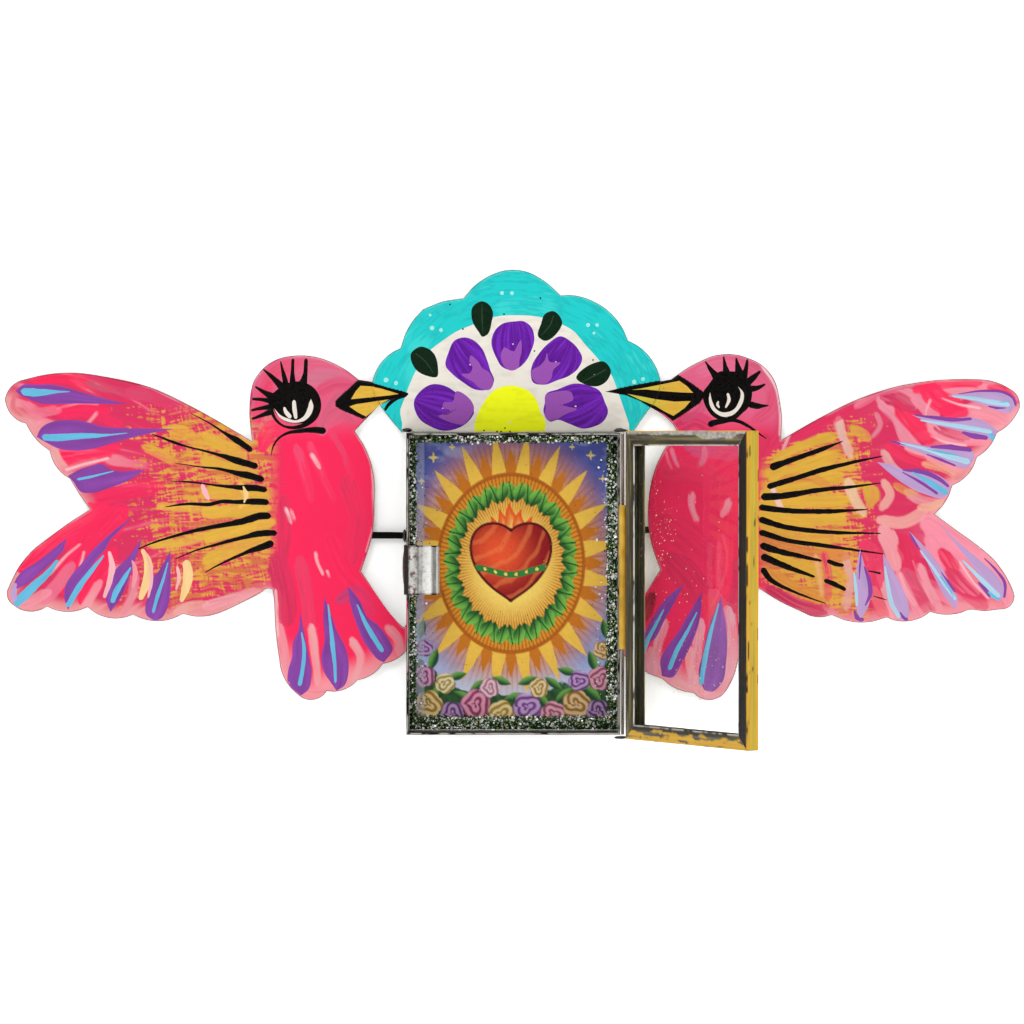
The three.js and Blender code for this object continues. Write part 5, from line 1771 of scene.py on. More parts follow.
def print_garland(picture, x, z):
    """Moss, leaves and five-lobed blooms along the foot."""
    ground = ease(-53 - z + 9 * ripple(x / 5 + 9, z / 5, 209, 3) + 0.009 * x**2, -0.5, 0.5)
    picture.coat(mix(paint(0x173824), paint(0x3E6E3C), ripple(x / 1.6 + 60, z / 2.6, 213, 3)), ground)
    for cx, cz, length, degrees in BLOOM_LEAVES:
        cover, across = leaf_weight(x, z, cx, cz, length * 1.5, degrees)
        picture.coat(mix(paint(0x1E5030), paint(0x6FA64E), ease(across, -1.0, 1.4)), cover)
    for count, (cx, cz, size, code) in enumerate(BLOOMS):
        bx, bz = x - cx, z - cz
        bend, far = np.arctan2(bz, bx), np.hypot(bx, bz) / size
        lobes = 1 - 0.16 * (1 - np.abs(np.cos(2.5 * bend + count)))
        whorl = 0.5 + 0.5 * np.sin(far * 13 + 2 * np.sin(2.5 * bend + count) + bend)
        colour = np.asarray(paint(code))
        tint = mix(colour * 0.45, colour * 0.75 + 0.25, ease(whorl, 0.1, 0.8))
        tint = mix(tint, colour * 0.3, ease(far, 0.86, 1.0) * 0.7)
        picture.coat(tint, ease(lobes - far, -0.05, 0.05))


def print_colours(x, z):
    """The print's colours by place in millimetres: dusk sky, a sun of straight rays, a wreath of leaves
    about a flaming heart, and a garland along the foot."""
    picture = print_sky(x, z)
    dx, dz = x - SUN[0], z - SUN[1]
    reach, angle = np.hypot(dx, dz * SUN_SQUASH), np.arctan2(dz * SUN_SQUASH, dx)
    print_sun(picture, reach, angle)
    print_wreath(picture, reach, angle)
    print_flames(picture, dx, dz)
    print_heart(picture, dx, dz)
    print_stars(picture, x, z)
    print_garland(picture, x, z)
    # Painted highlight: a pale band along the card's curled left edge.
    picture.coat(0xC4C8DC, ease(-37.6 - x, 0, 0.5) * 0.4)
    grain = ripple(x / 0.9, z / 0.9, 211, 2)
    return picture.colours * (0.93 + 0.14 * grain)[:, None]


def make_print(settings):
    """The print: a card with its picture as point colours, a little curled at its side edges."""
    low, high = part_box("print_card")
    x = np.linspace(low.x, high.x, int((high.x - low.x) / PRINT_STEP) + 1)
    z = np.linspace(low.z, high.z, int((high.z - low.z) / PRINT_STEP) + 1)
    xx, zz = (part.ravel() for part in np.meshgrid(x, z))
    edge = np.minimum(xx - low.x, high.x - xx) / (high.x - low.x)
    curl = CARD_CURL * (1 - ease(edge, 0.0, 0.075)) * (0.6 + 0.4 * ripple(zz / (30 * MM) + 9, 0 * zz, 221))
    y = low.y - curl * 0.28
    front = np.stack([xx, y, zz], axis=1)
    rows, columns = len(z), len(x)
    corners = [0, columns - 1, rows * columns - 1, (rows - 1) * columns]
    back = np.stack([xx, y + (high.y - low.y) * 0.9, zz], axis=1)[corners]
    colours = print_colours(xx / MM, zz / MM) * settings.print_light
    colours = np.concatenate([colours, np.tile(paint(0xC8C4BC), (4, 1))])
    faces = [grid_faces(rows, columns)[:, ::-1], np.array([[3, 2, 1, 0]]) + rows * columns]
    material = enamel("printed_card", 0.34, coat=0.12, relief=0.05)
    places = np.concatenate([front, back])
    make_piece("print", places, faces, material, "shrine", ("print_card",), colours)


# Glitter

# Foil tones: silver, grey, green, near-black and gold; the white flakes, drawn larger, are silver foil and
# also painted glints.
FLAKE_TONES = (0xFFFFFA, 0xE4E6D8, 0x8A9080, 0x2C621E, 0x10300C, 0x050904, 0xD6C468, 0x62983C)
FLAKE_SHARE = (0.12, 0.04, 0.02, 0.27, 0.25, 0.16, 0.04, 0.1)
DARK_SHARE = (0, 0, 0.1, 0.1, 0.2, 0.35, 0.25, 0)
BRIGHT_FLAKE = 1.75
LOOSE_SHARE = 0.055
DUST = 260
GLUE_WIDE = 220
GLUE_TALL = 300
GLUE_ROWS = 13
GLUE_BORDERS = tuple(f"glitter_{side}" for side in ("left", "right", "top", "bottom"))


def glue_mound(low, high, seed):
    """A bank of glue between two corners: its height over the print falls off to both long sides as a
    quarter wave, with smooth noise."""
    wide = high.x - low.x > high.z - low.z
    along = np.linspace(low.x, high.x, GLUE_WIDE) if wide else np.linspace(low.z, high.z, GLUE_TALL)
    start, end = (low.z, high.z) if wide else (low.x, high.x)
    across = np.linspace(0, 1, GLUE_ROWS)
    aa, cc = np.meshgrid(along, across, indexing="ij")
    side = start + (end - start) * cc
    bank = np.sin(np.pi * np.clip(0.08 + 0.84 * cc, 0, 1))
    height = (high.y - low.y) * bank * (0.55 + 0.45 * ripple(aa / MM / 2.2 + 90, cc * 3 + 9, seed, 2))
    x, z = (aa, side) if wide else (side, aa)
    places = np.stack([x, high.y - height, z], axis=-1).reshape(-1, 3)
    faces = grid_faces(len(along), len(across))
    return places, faces if wide else faces[:, ::-1]


def make_glitter(settings):
    """Glue banks round the print with flakes of foil strewn over them, and a few more strewn beyond."""
    glue = Gathered()
    flakes = Gathered()
    rng = np.random.default_rng(77)
    boxes = [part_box(name) for name in GLUE_BORDERS]
    area = [(high.x - low.x) * (high.z - low.z) for low, high in boxes]
    for seed, (low, high) in enumerate(boxes):
        places, faces = glue_mound(low, high, 230 + seed)
        tone = ripple(places[:, 0] / MM, places[:, 2] / MM, 240, 2)
        glue.add(places, mix(paint(0x060C05), paint(0x1E3A16), tone), faces)
        count = int(settings.flake_count * area[seed] / sum(area))
        picks = places[rng.integers(0, len(places), count)]
        spread = rng.normal(0, 0.35 * MM, (count, 3)) * (1, 0.2, 1)
        picks = picks + spread - (0, 0.1 * MM, 0)
        scatter(flakes, keep_inside(picks), rng, (0.18, 0.4), 35)
    loose = int(settings.flake_count * LOOSE_SHARE)
    side = rng.choice([-1, 1], loose)
    x = side * (BOX_HIGH[0] - 1.2 * MM - np.abs(rng.normal(0, 4.2 * MM, loose)))
    z = rng.uniform(BOX_LOW[2], BOX_HIGH[2], loose)
    picks = np.stack([x, np.full(loose, PRINT_Y - 0.45 * MM), z], axis=1)
    scatter(flakes, keep_inside(picks), rng, (0.14, 0.3), 20)
    x, z = rng.uniform(-40, 38, DUST) * MM, rng.uniform(-55, 58, DUST) * MM
    picks = np.stack([x, np.full(DUST, PRINT_Y - 0.12 * MM), z], axis=1)
    scatter(flakes, picks, rng, (0.1, 0.2), 8, DARK_SHARE)
    material = enamel("glitter_glue", 0.3, coat=0.5, relief=0.6)
    glue.build("glitter_glue", material, "shrine", GLUE_BORDERS)
    foil, _, _, shader = painted_material("glitter_foil")
    shader.inputs["Metallic"].default_value = 0.35
    shader.inputs["Roughness"].default_value = 0.3
    flakes.build("glitter_flakes", foil, "shrine", crease=1)


def keep_inside(picks):
    """Places moved inside the box's walls."""
    limit = BOX_HIGH - (1.0 * MM, 0, 1.0 * MM)
    return np.clip(picks, (-limit[0], BOX_LOW[1], -limit[2]), (limit[0], PRINT_Y - 0.1 * MM, limit[2]))


def scatter(gathered, picks, rng, sizes, tilt, share=FLAKE_SHARE):
    """Six-sided flakes at the picked places, each turned at random and tilted by up to so many degrees;
    share is how often each tone comes."""
    count = len(picks)
    radius = rng.uniform(*sizes, count) * MM
    spin, way = rng.uniform(0, 2 * np.pi, (2, count))
    lean = np.radians(rng.uniform(0, tilt, count))
    normal = np.stack([np.sin(lean) * np.cos(way), -np.cos(lean), np.sin(lean) * np.sin(way)], axis=1)
    first = unit(np.cross(normal, (0, 0, 1)))
    second = np.cross(first, normal)
    turn = spin[:, None] + np.linspace(0, 2 * np.pi, 6, endpoint=False)
    ring = np.cos(turn)[..., None] * first[:, None] + np.sin(turn)[..., None] * second[:, None]
    pick = rng.choice(len(FLAKE_TONES), count, p=np.array(share) / sum(share))
    radius = radius * np.where(pick == 0, BRIGHT_FLAKE, 1)
    places = picks[:, None] + ring * radius[:, None, None]
    colours = np.repeat(np.array([paint(code) for code in FLAKE_TONES])[pick], 6, axis=0)
    start = np.arange(count)[:, None] * 6
    faces = np.concatenate([start + (0, 1, 2, 3), start + (0, 3, 4, 5)])
    gathered.add(places.reshape(-1, 3), colours, faces)


# Metal and solder

SOLDERED = ("crown", "loop", "rod", "bird", "beak", "tail")
DROPS = (
    *(f"{part}_solder_{side}" for part in SOLDERED for side in ("left", "right")),
    "hinge_solder_top", "hinge_solder_bottom", "clasp_solder",
)
DOOR_DROPS = tuple(f"door_solder_{end}_{side}" for end in ("top", "bottom") for side in ("hinge", "free"))
ROD_POINTS = 40
ROD_SIDES = 28
ROD_BOW = 0.12 * MM


def make_solder():
    """Every drop of solder, as an uneven lump in the place that the frame gives it."""
    black = coloured_metal("blackened_solder", 0.4, metallic=0.6, relief=0.6)
    for body, drops in (("shrine", DROPS), ("door", DOOR_DROPS)):
        for count, name in enumerate(drops):
            places, faces = lump(*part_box(name), 300 + count)
            tone = ripple(places[:, 0] / MM / 2 + 200, places[:, 2] / MM / 2 + 200, 310, 3)
            colours = mix(paint(0x14130F), paint(0x4A4843), tone)
            make_piece(name + "_drop", places, faces, black, body, (name,), colours, crease=60)


def make_rods():
    """Both rods, smooth and painted black."""
    black = metal("black_rod_paint", paint(0x040303), paint(0x0C0A09), 120, (0.3, 1, 1), 0.4, 0.0, gloss=0.03)
    for name in ("rod_left", "rod_right"):
        low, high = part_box(name)
        middle = (low + high) / 2
        radius = (high.z - low.z) / 2
        x = np.linspace(low.x, high.x, ROD_POINTS)
        path = np.stack([x, np.full(ROD_POINTS, middle.y), np.full(ROD_POINTS, middle.z)], axis=1)
        path[:, 2] += ROD_BOW * np.sin(np.linspace(0, np.pi, ROD_POINTS))
        places, faces = tube(path, radius, ROD_SIDES)
        make_piece(name + "_bar", places, faces, black, "shrine", (name,), crease=60)


def worn_metal(name, roughness=0.36):
    """Tin and the paint on it: the piece's colours, metallic where its bare attribute says so."""
    material, nodes, links, shader = painted_material(name)
    bare = node(nodes, "Attribute", attribute_name="bare")
    links.new(bare.outputs["Fac"], shader.inputs["Metallic"])
    shader.inputs["Specular IOR Level"].default_value = 0.25
    rough = noise_ramp(nodes, links, 500, (1, 1, 1), roughness - 0.08, roughness + 0.14)
    links.new(rough, shader.inputs["Roughness"])
    grit = noise_ramp(nodes, links, 1800, (1, 1, 0.5), 0, 1, detail=4)
    add_bump(nodes, links, shader, grit, 0.35, 0.00006)
    return material


WALL_SECTION = (
    (0, 0), (0, -6), (0, -12), (0, -18), (0, -24.2), (0.05, -24.75), (0.22, -24.95), (0.42, -25),
    (0.62, -25), (0.85, -24.95), (1.05, -24.75), (1.1, -24.2), (1.1, -21.5), (0.5, -21.4), (0.5, -14),
    (0.5, -7), (0.5, 0),
)
LIP = (0.3, 0.78)
WALL_STEP = 0.8
LONG_POINTS = 161
SHORT_POINTS = 113


def make_box():
    """The box's walls: a section of wall and rolled hem, carried round the rectangle with square corners,
    its front edge uneven by the width of a scratch."""
    inset, depth = densify(np.array(WALL_SECTION), WALL_STEP).T * MM
    half_x, half_z = BOX_HIGH[0], BOX_HIGH[2]
    long = np.linspace(-1, 1, LONG_POINTS)[:-1]
    short = np.linspace(-1, 1, SHORT_POINTS)[:-1]
    p = np.concatenate([short, np.ones(len(long)), -short, -np.ones(len(long))])
    q = np.concatenate([-np.ones(len(short)), long, np.ones(len(short)), -long])
    waver = (ripple(p * 9 + 40, q * 13 + 40, 401, 2) - 0.5) * 0.22 * MM
    front = ease(-depth, 0.015, 0.025)
    shrink = inset + (waver[:, None] + 0.06 * MM) * front * 0.6
    x, z = p[:, None] * (half_x - shrink), q[:, None] * (half_z - shrink)
    y = depth + (waver[:, None] + 0.1 * MM) * front
    places = np.stack([x, y, z], axis=-1).reshape(-1, 3)
    inset, depth = np.broadcast_to(inset, x.shape).ravel() / MM, np.broadcast_to(depth, x.shape).ravel() / MM
    u, v = places[:, 0] / MM, places[:, 2] / MM
    blotch = ripple((u + depth) / 3 + 60, (v + 0.6 * depth) / 3 + 60, 403, 3)
    scrape = ripple((u + v) / 14 + 60, depth / 2.4 + 90, 407, 2)
    tin = Coats(mix(paint(0x1C1A16), paint(0x4A473E), ease(blotch, 0.35, 0.7)))
    tin.coat(0x8A867A, ease(scrape + 0.3 * blotch, 0.75, 0.95) * (inset < 0.3) * 0.4)
    # Pale bare tin along the hem's front lip, also a painted highlight on the rolled edge.
    lip = (inset > LIP[0]) & (inset < LIP[1]) & (depth < -24)
    tin.coat(0xC9C6BC, lip * ease(blotch, 0.3, 0.5) * 0.9)
    smear = (u < 0) & (inset < 0.5) & (depth < -23) & (v > -36) & (v < -7)
    tin.coat(0xD83A62, smear * ease(ripple(v / 6 + 30, u * 0, 405, 2), 0.35, 0.5))
    faces = grid_faces(*x.shape, wrap_rows=True, wrap_columns=True)
    bare = np.full(len(places), 0.75)
    make_piece(
        "box_sides", places, [faces[:, ::-1]], worn_metal("box_tin"), "shrine", ("box_walls",),
        tin.colours, bare, 50,
    )


def door_joint():
    """The place of the door's hinge and the angle that it stands open."""
    joint = next(joint for joint in frame["joints"] if joint["name"] == "door_hinge")
    return np.array(joint["pos_m"]), math.radians(-joint["range_deg"][0])


def turned(places, angle):
    """Places turned about the upright axis."""
    x, y, z = places.T
    cos, sin = math.cos(angle), math.sin(angle)
    return np.stack([x * cos - y * sin, x * sin + y * cos, z], axis=1)


def opened(places):
    """Places on the closed door, given from its hinge, turned to where the open door stands."""
    pivot, angle = door_joint()
    return turned(places, angle) + pivot


def closed_box(name):
    """The corners, from the hinge, of a door node's box when the door is closed."""
    pivot, angle = door_joint()
    back = turned(node_places(name) - pivot, -angle)
    return back.min(0), back.max(0)


RAIL = 6.2
DOOR_DEPTH = 5.8
MITRE_GAP = 0.15
ROUND = 0.18
CHANNEL_STEP = 0.5
CHANNEL_SECTION = (
    (ROUND, 0), (1.5, 0), (3.1, 0), (4.7, 0), (5.4, 0), (RAIL - 0.15, 0.03), (RAIL, 0.15), (RAIL, 0.38),
    (RAIL - 0.15, 0.5), (3.4, 0.5), (0.6, 0.5), (0.5, 0.6), (0.5, 2.9), (0.5, DOOR_DEPTH - 0.6),
    (0.6, DOOR_DEPTH - 0.5), (3.4, DOOR_DEPTH - 0.5), (RAIL - 0.15, DOOR_DEPTH - 0.5),
    (RAIL, DOOR_DEPTH - 0.38), (RAIL, DOOR_DEPTH - 0.15), (RAIL - 0.15, DOOR_DEPTH), (3.1, DOOR_DEPTH),
    (ROUND, DOOR_DEPTH), (0.05, DOOR_DEPTH - 0.05), (0, DOOR_DEPTH - ROUND), (0, 4.4), (0, 2.9), (0, 1.4),
    (0, ROUND), (0.05, 0.05),
)


def channel(name, corner, across, seed):
    """A mitred channel of the door's frame: its section runs from one corner along the side, uneven by a
    hair's width, with its width measured across and its depth away from the box."""
    low, high = closed_box(name)
    across = np.array(across, float)
    inward = np.array((0.0, -1.0, 0.0))
    along = np.cross(across, inward)
    length = np.abs((high - low) @ along) + MITRE_GAP * MM
    w, d = densify(np.array(CHANNEL_SECTION), CHANNEL_STEP).T * MM
    t = np.linspace(0, 1, int(length / (CHANNEL_STEP * MM)))[:, None]
    mitre = w + MITRE_GAP / 2 * MM
    s = mitre + (length - 2 * mitre) * t
    waver = (ripple(s / (7 * MM) + seed, w / MM * 0.4 + d / MM * 0.2, seed, 2) - 0.5) * 0.22 * MM
    edge = ease(w / MM, 4.0, 6.0)
    ww = w - np.abs(waver) * edge
    dd = d + waver * np.where(d > DOOR_DEPTH / 2 * MM, -0.5, 0.5) * (0.3 + edge)
    places = corner + ww[..., None] * across + dd[..., None] * inward + s[..., None] * along
    u, w, d = (np.broadcast_to(part, ww.shape).ravel() / MM for part in (s, w, d))
    return opened(places.reshape(-1, 3)), u, w, d, ww.shape


def channel_paint(name, u, w, d, seed):
    """A channel's colours, and where it is bare tin: scraped grey tin inside, mustard paint outside, a
    wavering seam of solder along the top rail, painted shade over the free stile and a painted highlight
    along each flange's edge by the glass."""
    inner, outer = d < 0.3, d > DOOR_DEPTH - 0.3
    blotch = ripple(u / 5 + seed, w * 0.7 + d * 0.5 + 20, seed + 1, 3)
    streak = ripple(u / 18 + seed, w * 1.6 + d * 1.6 + 30, seed + 2, 3)
    # Painted shade: the free stile's tin tones are much darker.
    shaded_free_stile = name == "door_stile_free"
    dark, light = (0x12100D, 0x302D28) if shaded_free_stile else (0x34322A, 0x807C6E)
    tin = Coats(mix(paint(dark), paint(light), streak))
    tin.coat(0x9A8E3C, ease(0.6 * streak + 0.4 * blotch, 0.52, 0.64) * (not shaded_free_stile) * 0.55)
    # Darker towards the glass on the inside face.
    tin.coat(0x100F0C, ease(w, 3.6, 4.4) * inner * 0.6)
    # Painted highlight: a pale, broken line along the flange's edge by the glass.
    tin.coat(0xD4D1C8, ease(w, RAIL - 0.35, RAIL - 0.2) * (d < 0.6) * ease(blotch, 0.25, 0.5))
    if name == "door_rail_top":
        thick = 1.7 * ease(u, 44, 58) * (1 - ease(u, 74, 82))
        seam = 0.9 + 1.2 * ripple(u / 5 + 7, u * 0, seed + 3, 3) + thick
        solder = mix(paint(0x7C7A72), paint(0xDAD8D0), ripple(u / 1.5 + 7, w * 1.2, seed + 5, 2))
        tin.coat(solder, ease(seam - w, -0.15, 0.15) * inner)
    yellow = np.maximum(w < 0.12, outer) * 1.0
    if name in ("door_rail_top", "door_stile_free"):
        yellow = np.maximum(yellow, inner * (1 - ease(w, 0.4, 0.7)))
    if name == "door_rail_bottom":
        yellow = np.maximum(yellow, inner * ease(6.4 * blotch - w, -0.3, 0.3))
    rubbed = ripple(u / 9 + 3 * seed, w * 1.3 + d * 1.3 + 70, seed + 4, 3)
    cover = yellow * ease(rubbed + 0.1 * (np.abs(d - 2.9) < 2.3), 0.3, 0.4)
    hair = ripple(u / 24 + seed, w * 2.4 + d * 2.4 + 5, seed + 6, 3)
    mustard = mix(paint(0xE0AE34), paint(0xBEB23E), ease(1.3 - np.abs(d - 2.9), 0, 0.8) * 0.75)
    tin.coat(mustard * (0.6 + 0.46 * hair)[:, None], cover)
    return tin.colours, 0.4 * (1 - cover)


def make_door():
    """The four channels of the door's frame, each from one corner along its side."""
    near, top_y = closed_box("door_stile_hinge")[1][:2]
    far = closed_box("door_stile_free")[0][0]
    top = closed_box("door_rail_top")[1][2]
    bottom = closed_box("door_rail_bottom")[0][2]
    sides = (
        ("door_stile_hinge", (near, bottom), (-1, 0, 0)),
        ("door_stile_free", (far, top), (1, 0, 0)),
        ("door_rail_top", (near, top), (0, 0, -1)),
        ("door_rail_bottom", (far, bottom), (0, 0, 1)),
    )
    material = worn_metal("door_tin")
    for count, (name, (x, z), across) in enumerate(sides):
        seed = 420 + 10 * count
        places, u, w, d, (rows, columns) = channel(name, np.array((x, top_y, z)), across, seed)
        colours, bare = channel_paint(name, u, w, d, seed)
        faces = [grid_faces(rows, columns, wrap_columns=True), end_caps(rows, columns)]
        make_piece(name + "_fold", places, faces, material, "door", (name,), colours, bare, 50)


SPECKS = 230
SPECK_SIDES = 7
SPECK_EDGE = 0.85
SPECK_SHARE = (0.45, 0.35, 0.2)
SPECK_X = np.array(((-0.5, 0.2), (0.1, 0.3), (0.0, 0.6)))
SPECK_Z = np.array(((0.28, 0.16), (-0.5, 0.14), (0.0, 0.5)))
SPECK_TONES = np.array([paint(0xE8C88C), paint(0xF2D6B0), paint(0xD89A86)])


def make_specks():
    """Specks of dried paint on the glass, in two clusters and a thin spread: each is a fan of triangles
    from a low peak to an uneven ring. SPECK_X and SPECK_Z give each cluster's middle and spread in halves
    of the pane."""
    low, high = closed_box("door_glass")
    rng = np.random.default_rng(55)
    cluster = rng.choice(3, SPECKS, p=SPECK_SHARE)
    x = SPECK_X[cluster, 0] + rng.normal(0, 1, SPECKS) * SPECK_X[cluster, 1]
    z = SPECK_Z[cluster, 0] + rng.normal(0, 1, SPECKS) * SPECK_Z[cluster, 1]
    x = (low[0] + high[0]) / 2 - np.clip(x, -SPECK_EDGE, SPECK_EDGE) * (high[0] - low[0]) / 2
    z = (low[2] + high[2]) / 2 + np.clip(z, -SPECK_EDGE, SPECK_EDGE) * (high[2] - low[2]) / 2
    spots = opened(np.stack([x, np.full(SPECKS, high[1] + 0.02 * MM), z], axis=1))
    angle = door_joint()[1]
    facing = np.array((-math.sin(angle), math.cos(angle), 0.0))
    side = np.cross(facing, (0, 0, 1))
    turn = np.linspace(0, 2 * np.pi, SPECK_SIDES, endpoint=False)
    ring = np.cos(turn)[:, None] * side + np.sin(turn)[:, None] * np.array((0, 0, 1.0))
    size = rng.uniform(0.12, 0.36, SPECKS) * MM
    uneven = rng.uniform(0.7, 1.2, (SPECKS, SPECK_SIDES))
    places = spots[:, None] + ring * (size[:, None] * uneven)[..., None]
    heart = spots + facing * 0.05 * MM
    tones = SPECK_TONES[rng.integers(0, 3, SPECKS)]
    points = np.concatenate([places, heart[:, None]], axis=1).reshape(-1, 3)
    rim = np.arange(SPECK_SIDES)
    fan = np.stack([np.full(SPECK_SIDES, SPECK_SIDES), rim, np.roll(rim, -1)], axis=1)
    start = np.arange(SPECKS)[:, None, None] * (SPECK_SIDES + 1)
    specks = Gathered()
    specks.add(points, np.repeat(tones, SPECK_SIDES + 1, axis=0), (start + fan).reshape(-1, 3)[:, ::-1])
    specks.build("glass_specks", enamel("speck_paint", 0.4), "door", crease=60)


CLASP_BULGE = 3.6 * MM
CURL_POINTS = 70
STRAP_POINTS = 24
CLASP_ROWS = 48
# Painted reflection and shade: (place across the strip, brightness) for the upright bands on the curl.
CLASP_SHINE_BANDS = (
    (0.15, 0.5), (0.22, 0.75), (0.35, 0.65), (0.4, 0.3), (0.45, 0.7), (0.5, 0.5), (0.55, 0.95), (0.74, 1.0),
    (0.79, 0.5), (0.83, 0.2), (0.91, 0.25), (0.94, 0.8), (1.0, 0.6),
)


def make_clasp():
    """The clasp: a strip that runs along the wall and curls over in half an ellipse, black on its strap,
    bare tin on its curl, with painted upright bands of reflection and shade across the curl."""
    low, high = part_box("clasp")
    strap, tip = low.x + TIN / 2, high.x - TIN / 2
    bend = low.y + TIN / 2 + CLASP_BULGE
    turn = np.linspace(np.pi, 2 * np.pi, CURL_POINTS)
    middle, half = (strap + tip) / 2, (tip - strap) / 2
    curl = np.stack([middle + half * np.cos(turn), bend + CLASP_BULGE * np.sin(turn)], axis=1)
    depth = np.linspace(high.y, bend, STRAP_POINTS + 1)[:-1]
    path = np.concatenate([np.stack([np.full(STRAP_POINTS, strap), depth], axis=1), curl])
    normal = left_of(path) * TIN / 2
    loop = np.concatenate([path + normal, (path - normal)[::-1]])
    z = np.linspace(low.z, high.z, CLASP_ROWS)[:, None]
    x = np.broadcast_to(loop[:, 0], (CLASP_ROWS, len(loop)))
    y = loop[:, 1] + (ripple(x / MM / 4 + 60, z / MM / 4 + 20, 441, 2) - 0.5) * 0.16 * MM
    zz = z + (ripple(x / MM / 3 + 60, z * 0, 443, 2) - 0.5) * 0.3 * MM
    places = np.stack([x, y, np.broadcast_to(zz, x.shape)], axis=-1).reshape(-1, 3)
    across = (places[:, 0] - strap) / (tip - strap)
    rise = (places[:, 2] - low.z) / (high.z - low.z)
    grain = ripple(across * 26 + 10, rise * 5, 445, 3)
    pits = ripple(across * 14 + 10, rise * 18, 447, 3)
    # Painted reflection and shade from the bands, with grain.
    tone = np.interp(across, *np.array(CLASP_SHINE_BANDS).T) + 0.2 * (grain - 0.5)
    tone -= 0.4 * ease(pits, 0.5, 0.66) * (1 - ease(across, 0.3, 0.42))
    # Darker along the top and bottom ends.
    tone -= 0.5 * ease(np.abs(rise - 0.5), 0.455, 0.49)
    tin = Coats(mix(paint(0x100F0D), paint(0xFAF8F2), np.clip(tone, 0, 1)))
    tin.coat(0x7A4A42, 0.6 * ease(pits, 0.48, 0.62) * (1 - ease(across, 0.3, 0.42)))
    black = 1 - ease(across + 0.04 * (pits - 0.5), 0.1, 0.15)
    tin.coat(0x12110F, black)
    faces = grid_faces(CLASP_ROWS, len(loop), wrap_columns=True)
    first, last = np.arange(len(path)), len(loop) - 1 - np.arange(len(path))
    cap = np.stack([first[:-1], first[1:], last[1:], last[:-1]], axis=1)
    faces = np.concatenate([faces[:, ::-1], cap[:, ::-1], cap + (CLASP_ROWS - 1) * len(loop)])
    make_piece(
        "clasp_strip", places, [faces], worn_metal("clasp_tin", 0.28), "clasp", ("clasp",),
        tin.colours, (1 - black) * 0.55, 50,
    )


def dress_frame():
    """Materials for the CAD pieces that stay as they are."""
    bright = metal("bright_tin", paint(0x96938C), paint(0xC9C6BE), 110, (1, 1, 0.3), 0.28)
    wire = metal("drawn_wire", paint(0x8A8984), paint(0xC8C7C2), 160, (1, 1, 0.2), 0.3)
    mustard = metal("mustard_paint", paint(0xB98E26), paint(0xE0B646), 240, (1, 1, 0.5), 0.45, metallic=0.0)
    looks = {
        "box_back": bright, "hinge_wire": wire, "hanging_loop": wire, "hinge_knuckle": mustard,
        "door_glass": pane_glass(),
    }
    for name, material in looks.items():
        slots = frame["nodes"][name].data.materials
        slots.clear()
        slots.append(material)


# Stage

WALL_Y = 0.6 * MM
WALL_SIZE = 4.0
FLOOR_Z = -0.34
LAMPS = (
    ("key", (-0.35, -1.7, 0.9), 0.5, 1.0),
    ("fill", (0.9, -1.6, 0.35), 0.9, 0.35),
    ("back", (0.5, 1.6, 0.9), 0.9, 0.6),
)
CARD_Y = -2.3
STAGE_WHITE = 1.45


def add_plane(name, corners, material):
    """A four-sided stage plane, seen from the front where its corners run anticlockwise."""
    mesh = bpy.data.meshes.new(name)
    mesh.from_pydata(corners, [], [(0, 1, 2, 3)])
    mesh.materials.append(material)
    plane = bpy.data.objects.new(name, mesh)
    bpy.context.scene.collection.objects.link(plane)
    return plane


def flat_material(name, colour, one_sided=False):
    """Plain matte paint, which can be clear from behind."""
    material, nodes, links, shader = new_material(name)
    nodes.remove(shader)
    matte = node(nodes, "BsdfDiffuse", Color=(*colour, 1))
    finish = matte.outputs["BSDF"]
    if one_sided:
        side = node(nodes, "NewGeometry")
        clear = node(nodes, "BsdfTransparent")
        mixed_surface(nodes, links, side.outputs["Backfacing"], finish, clear.outputs["BSDF"])
    else:
        links.new(finish, nodes["Material Output"].inputs["Surface"])
    return material


def hide_from(thing, *rays):
    """Hides an object from the named kinds of rays."""
    for ray in rays:
        setattr(thing, "visible_" + ray, False)


def add_lamp(name, place, target, size, power):
    """A square area lamp, aimed at a target."""
    lamp = bpy.data.lights.new(name, "AREA")
    lamp.size = size
    lamp.energy = power
    stand = bpy.data.objects.new(name, lamp)
    stand.location = place
    stand.rotation_euler = (Vector(target) - Vector(place)).to_track_quat("-Z", "Y").to_euler()
    bpy.context.scene.collection.objects.link(stand)


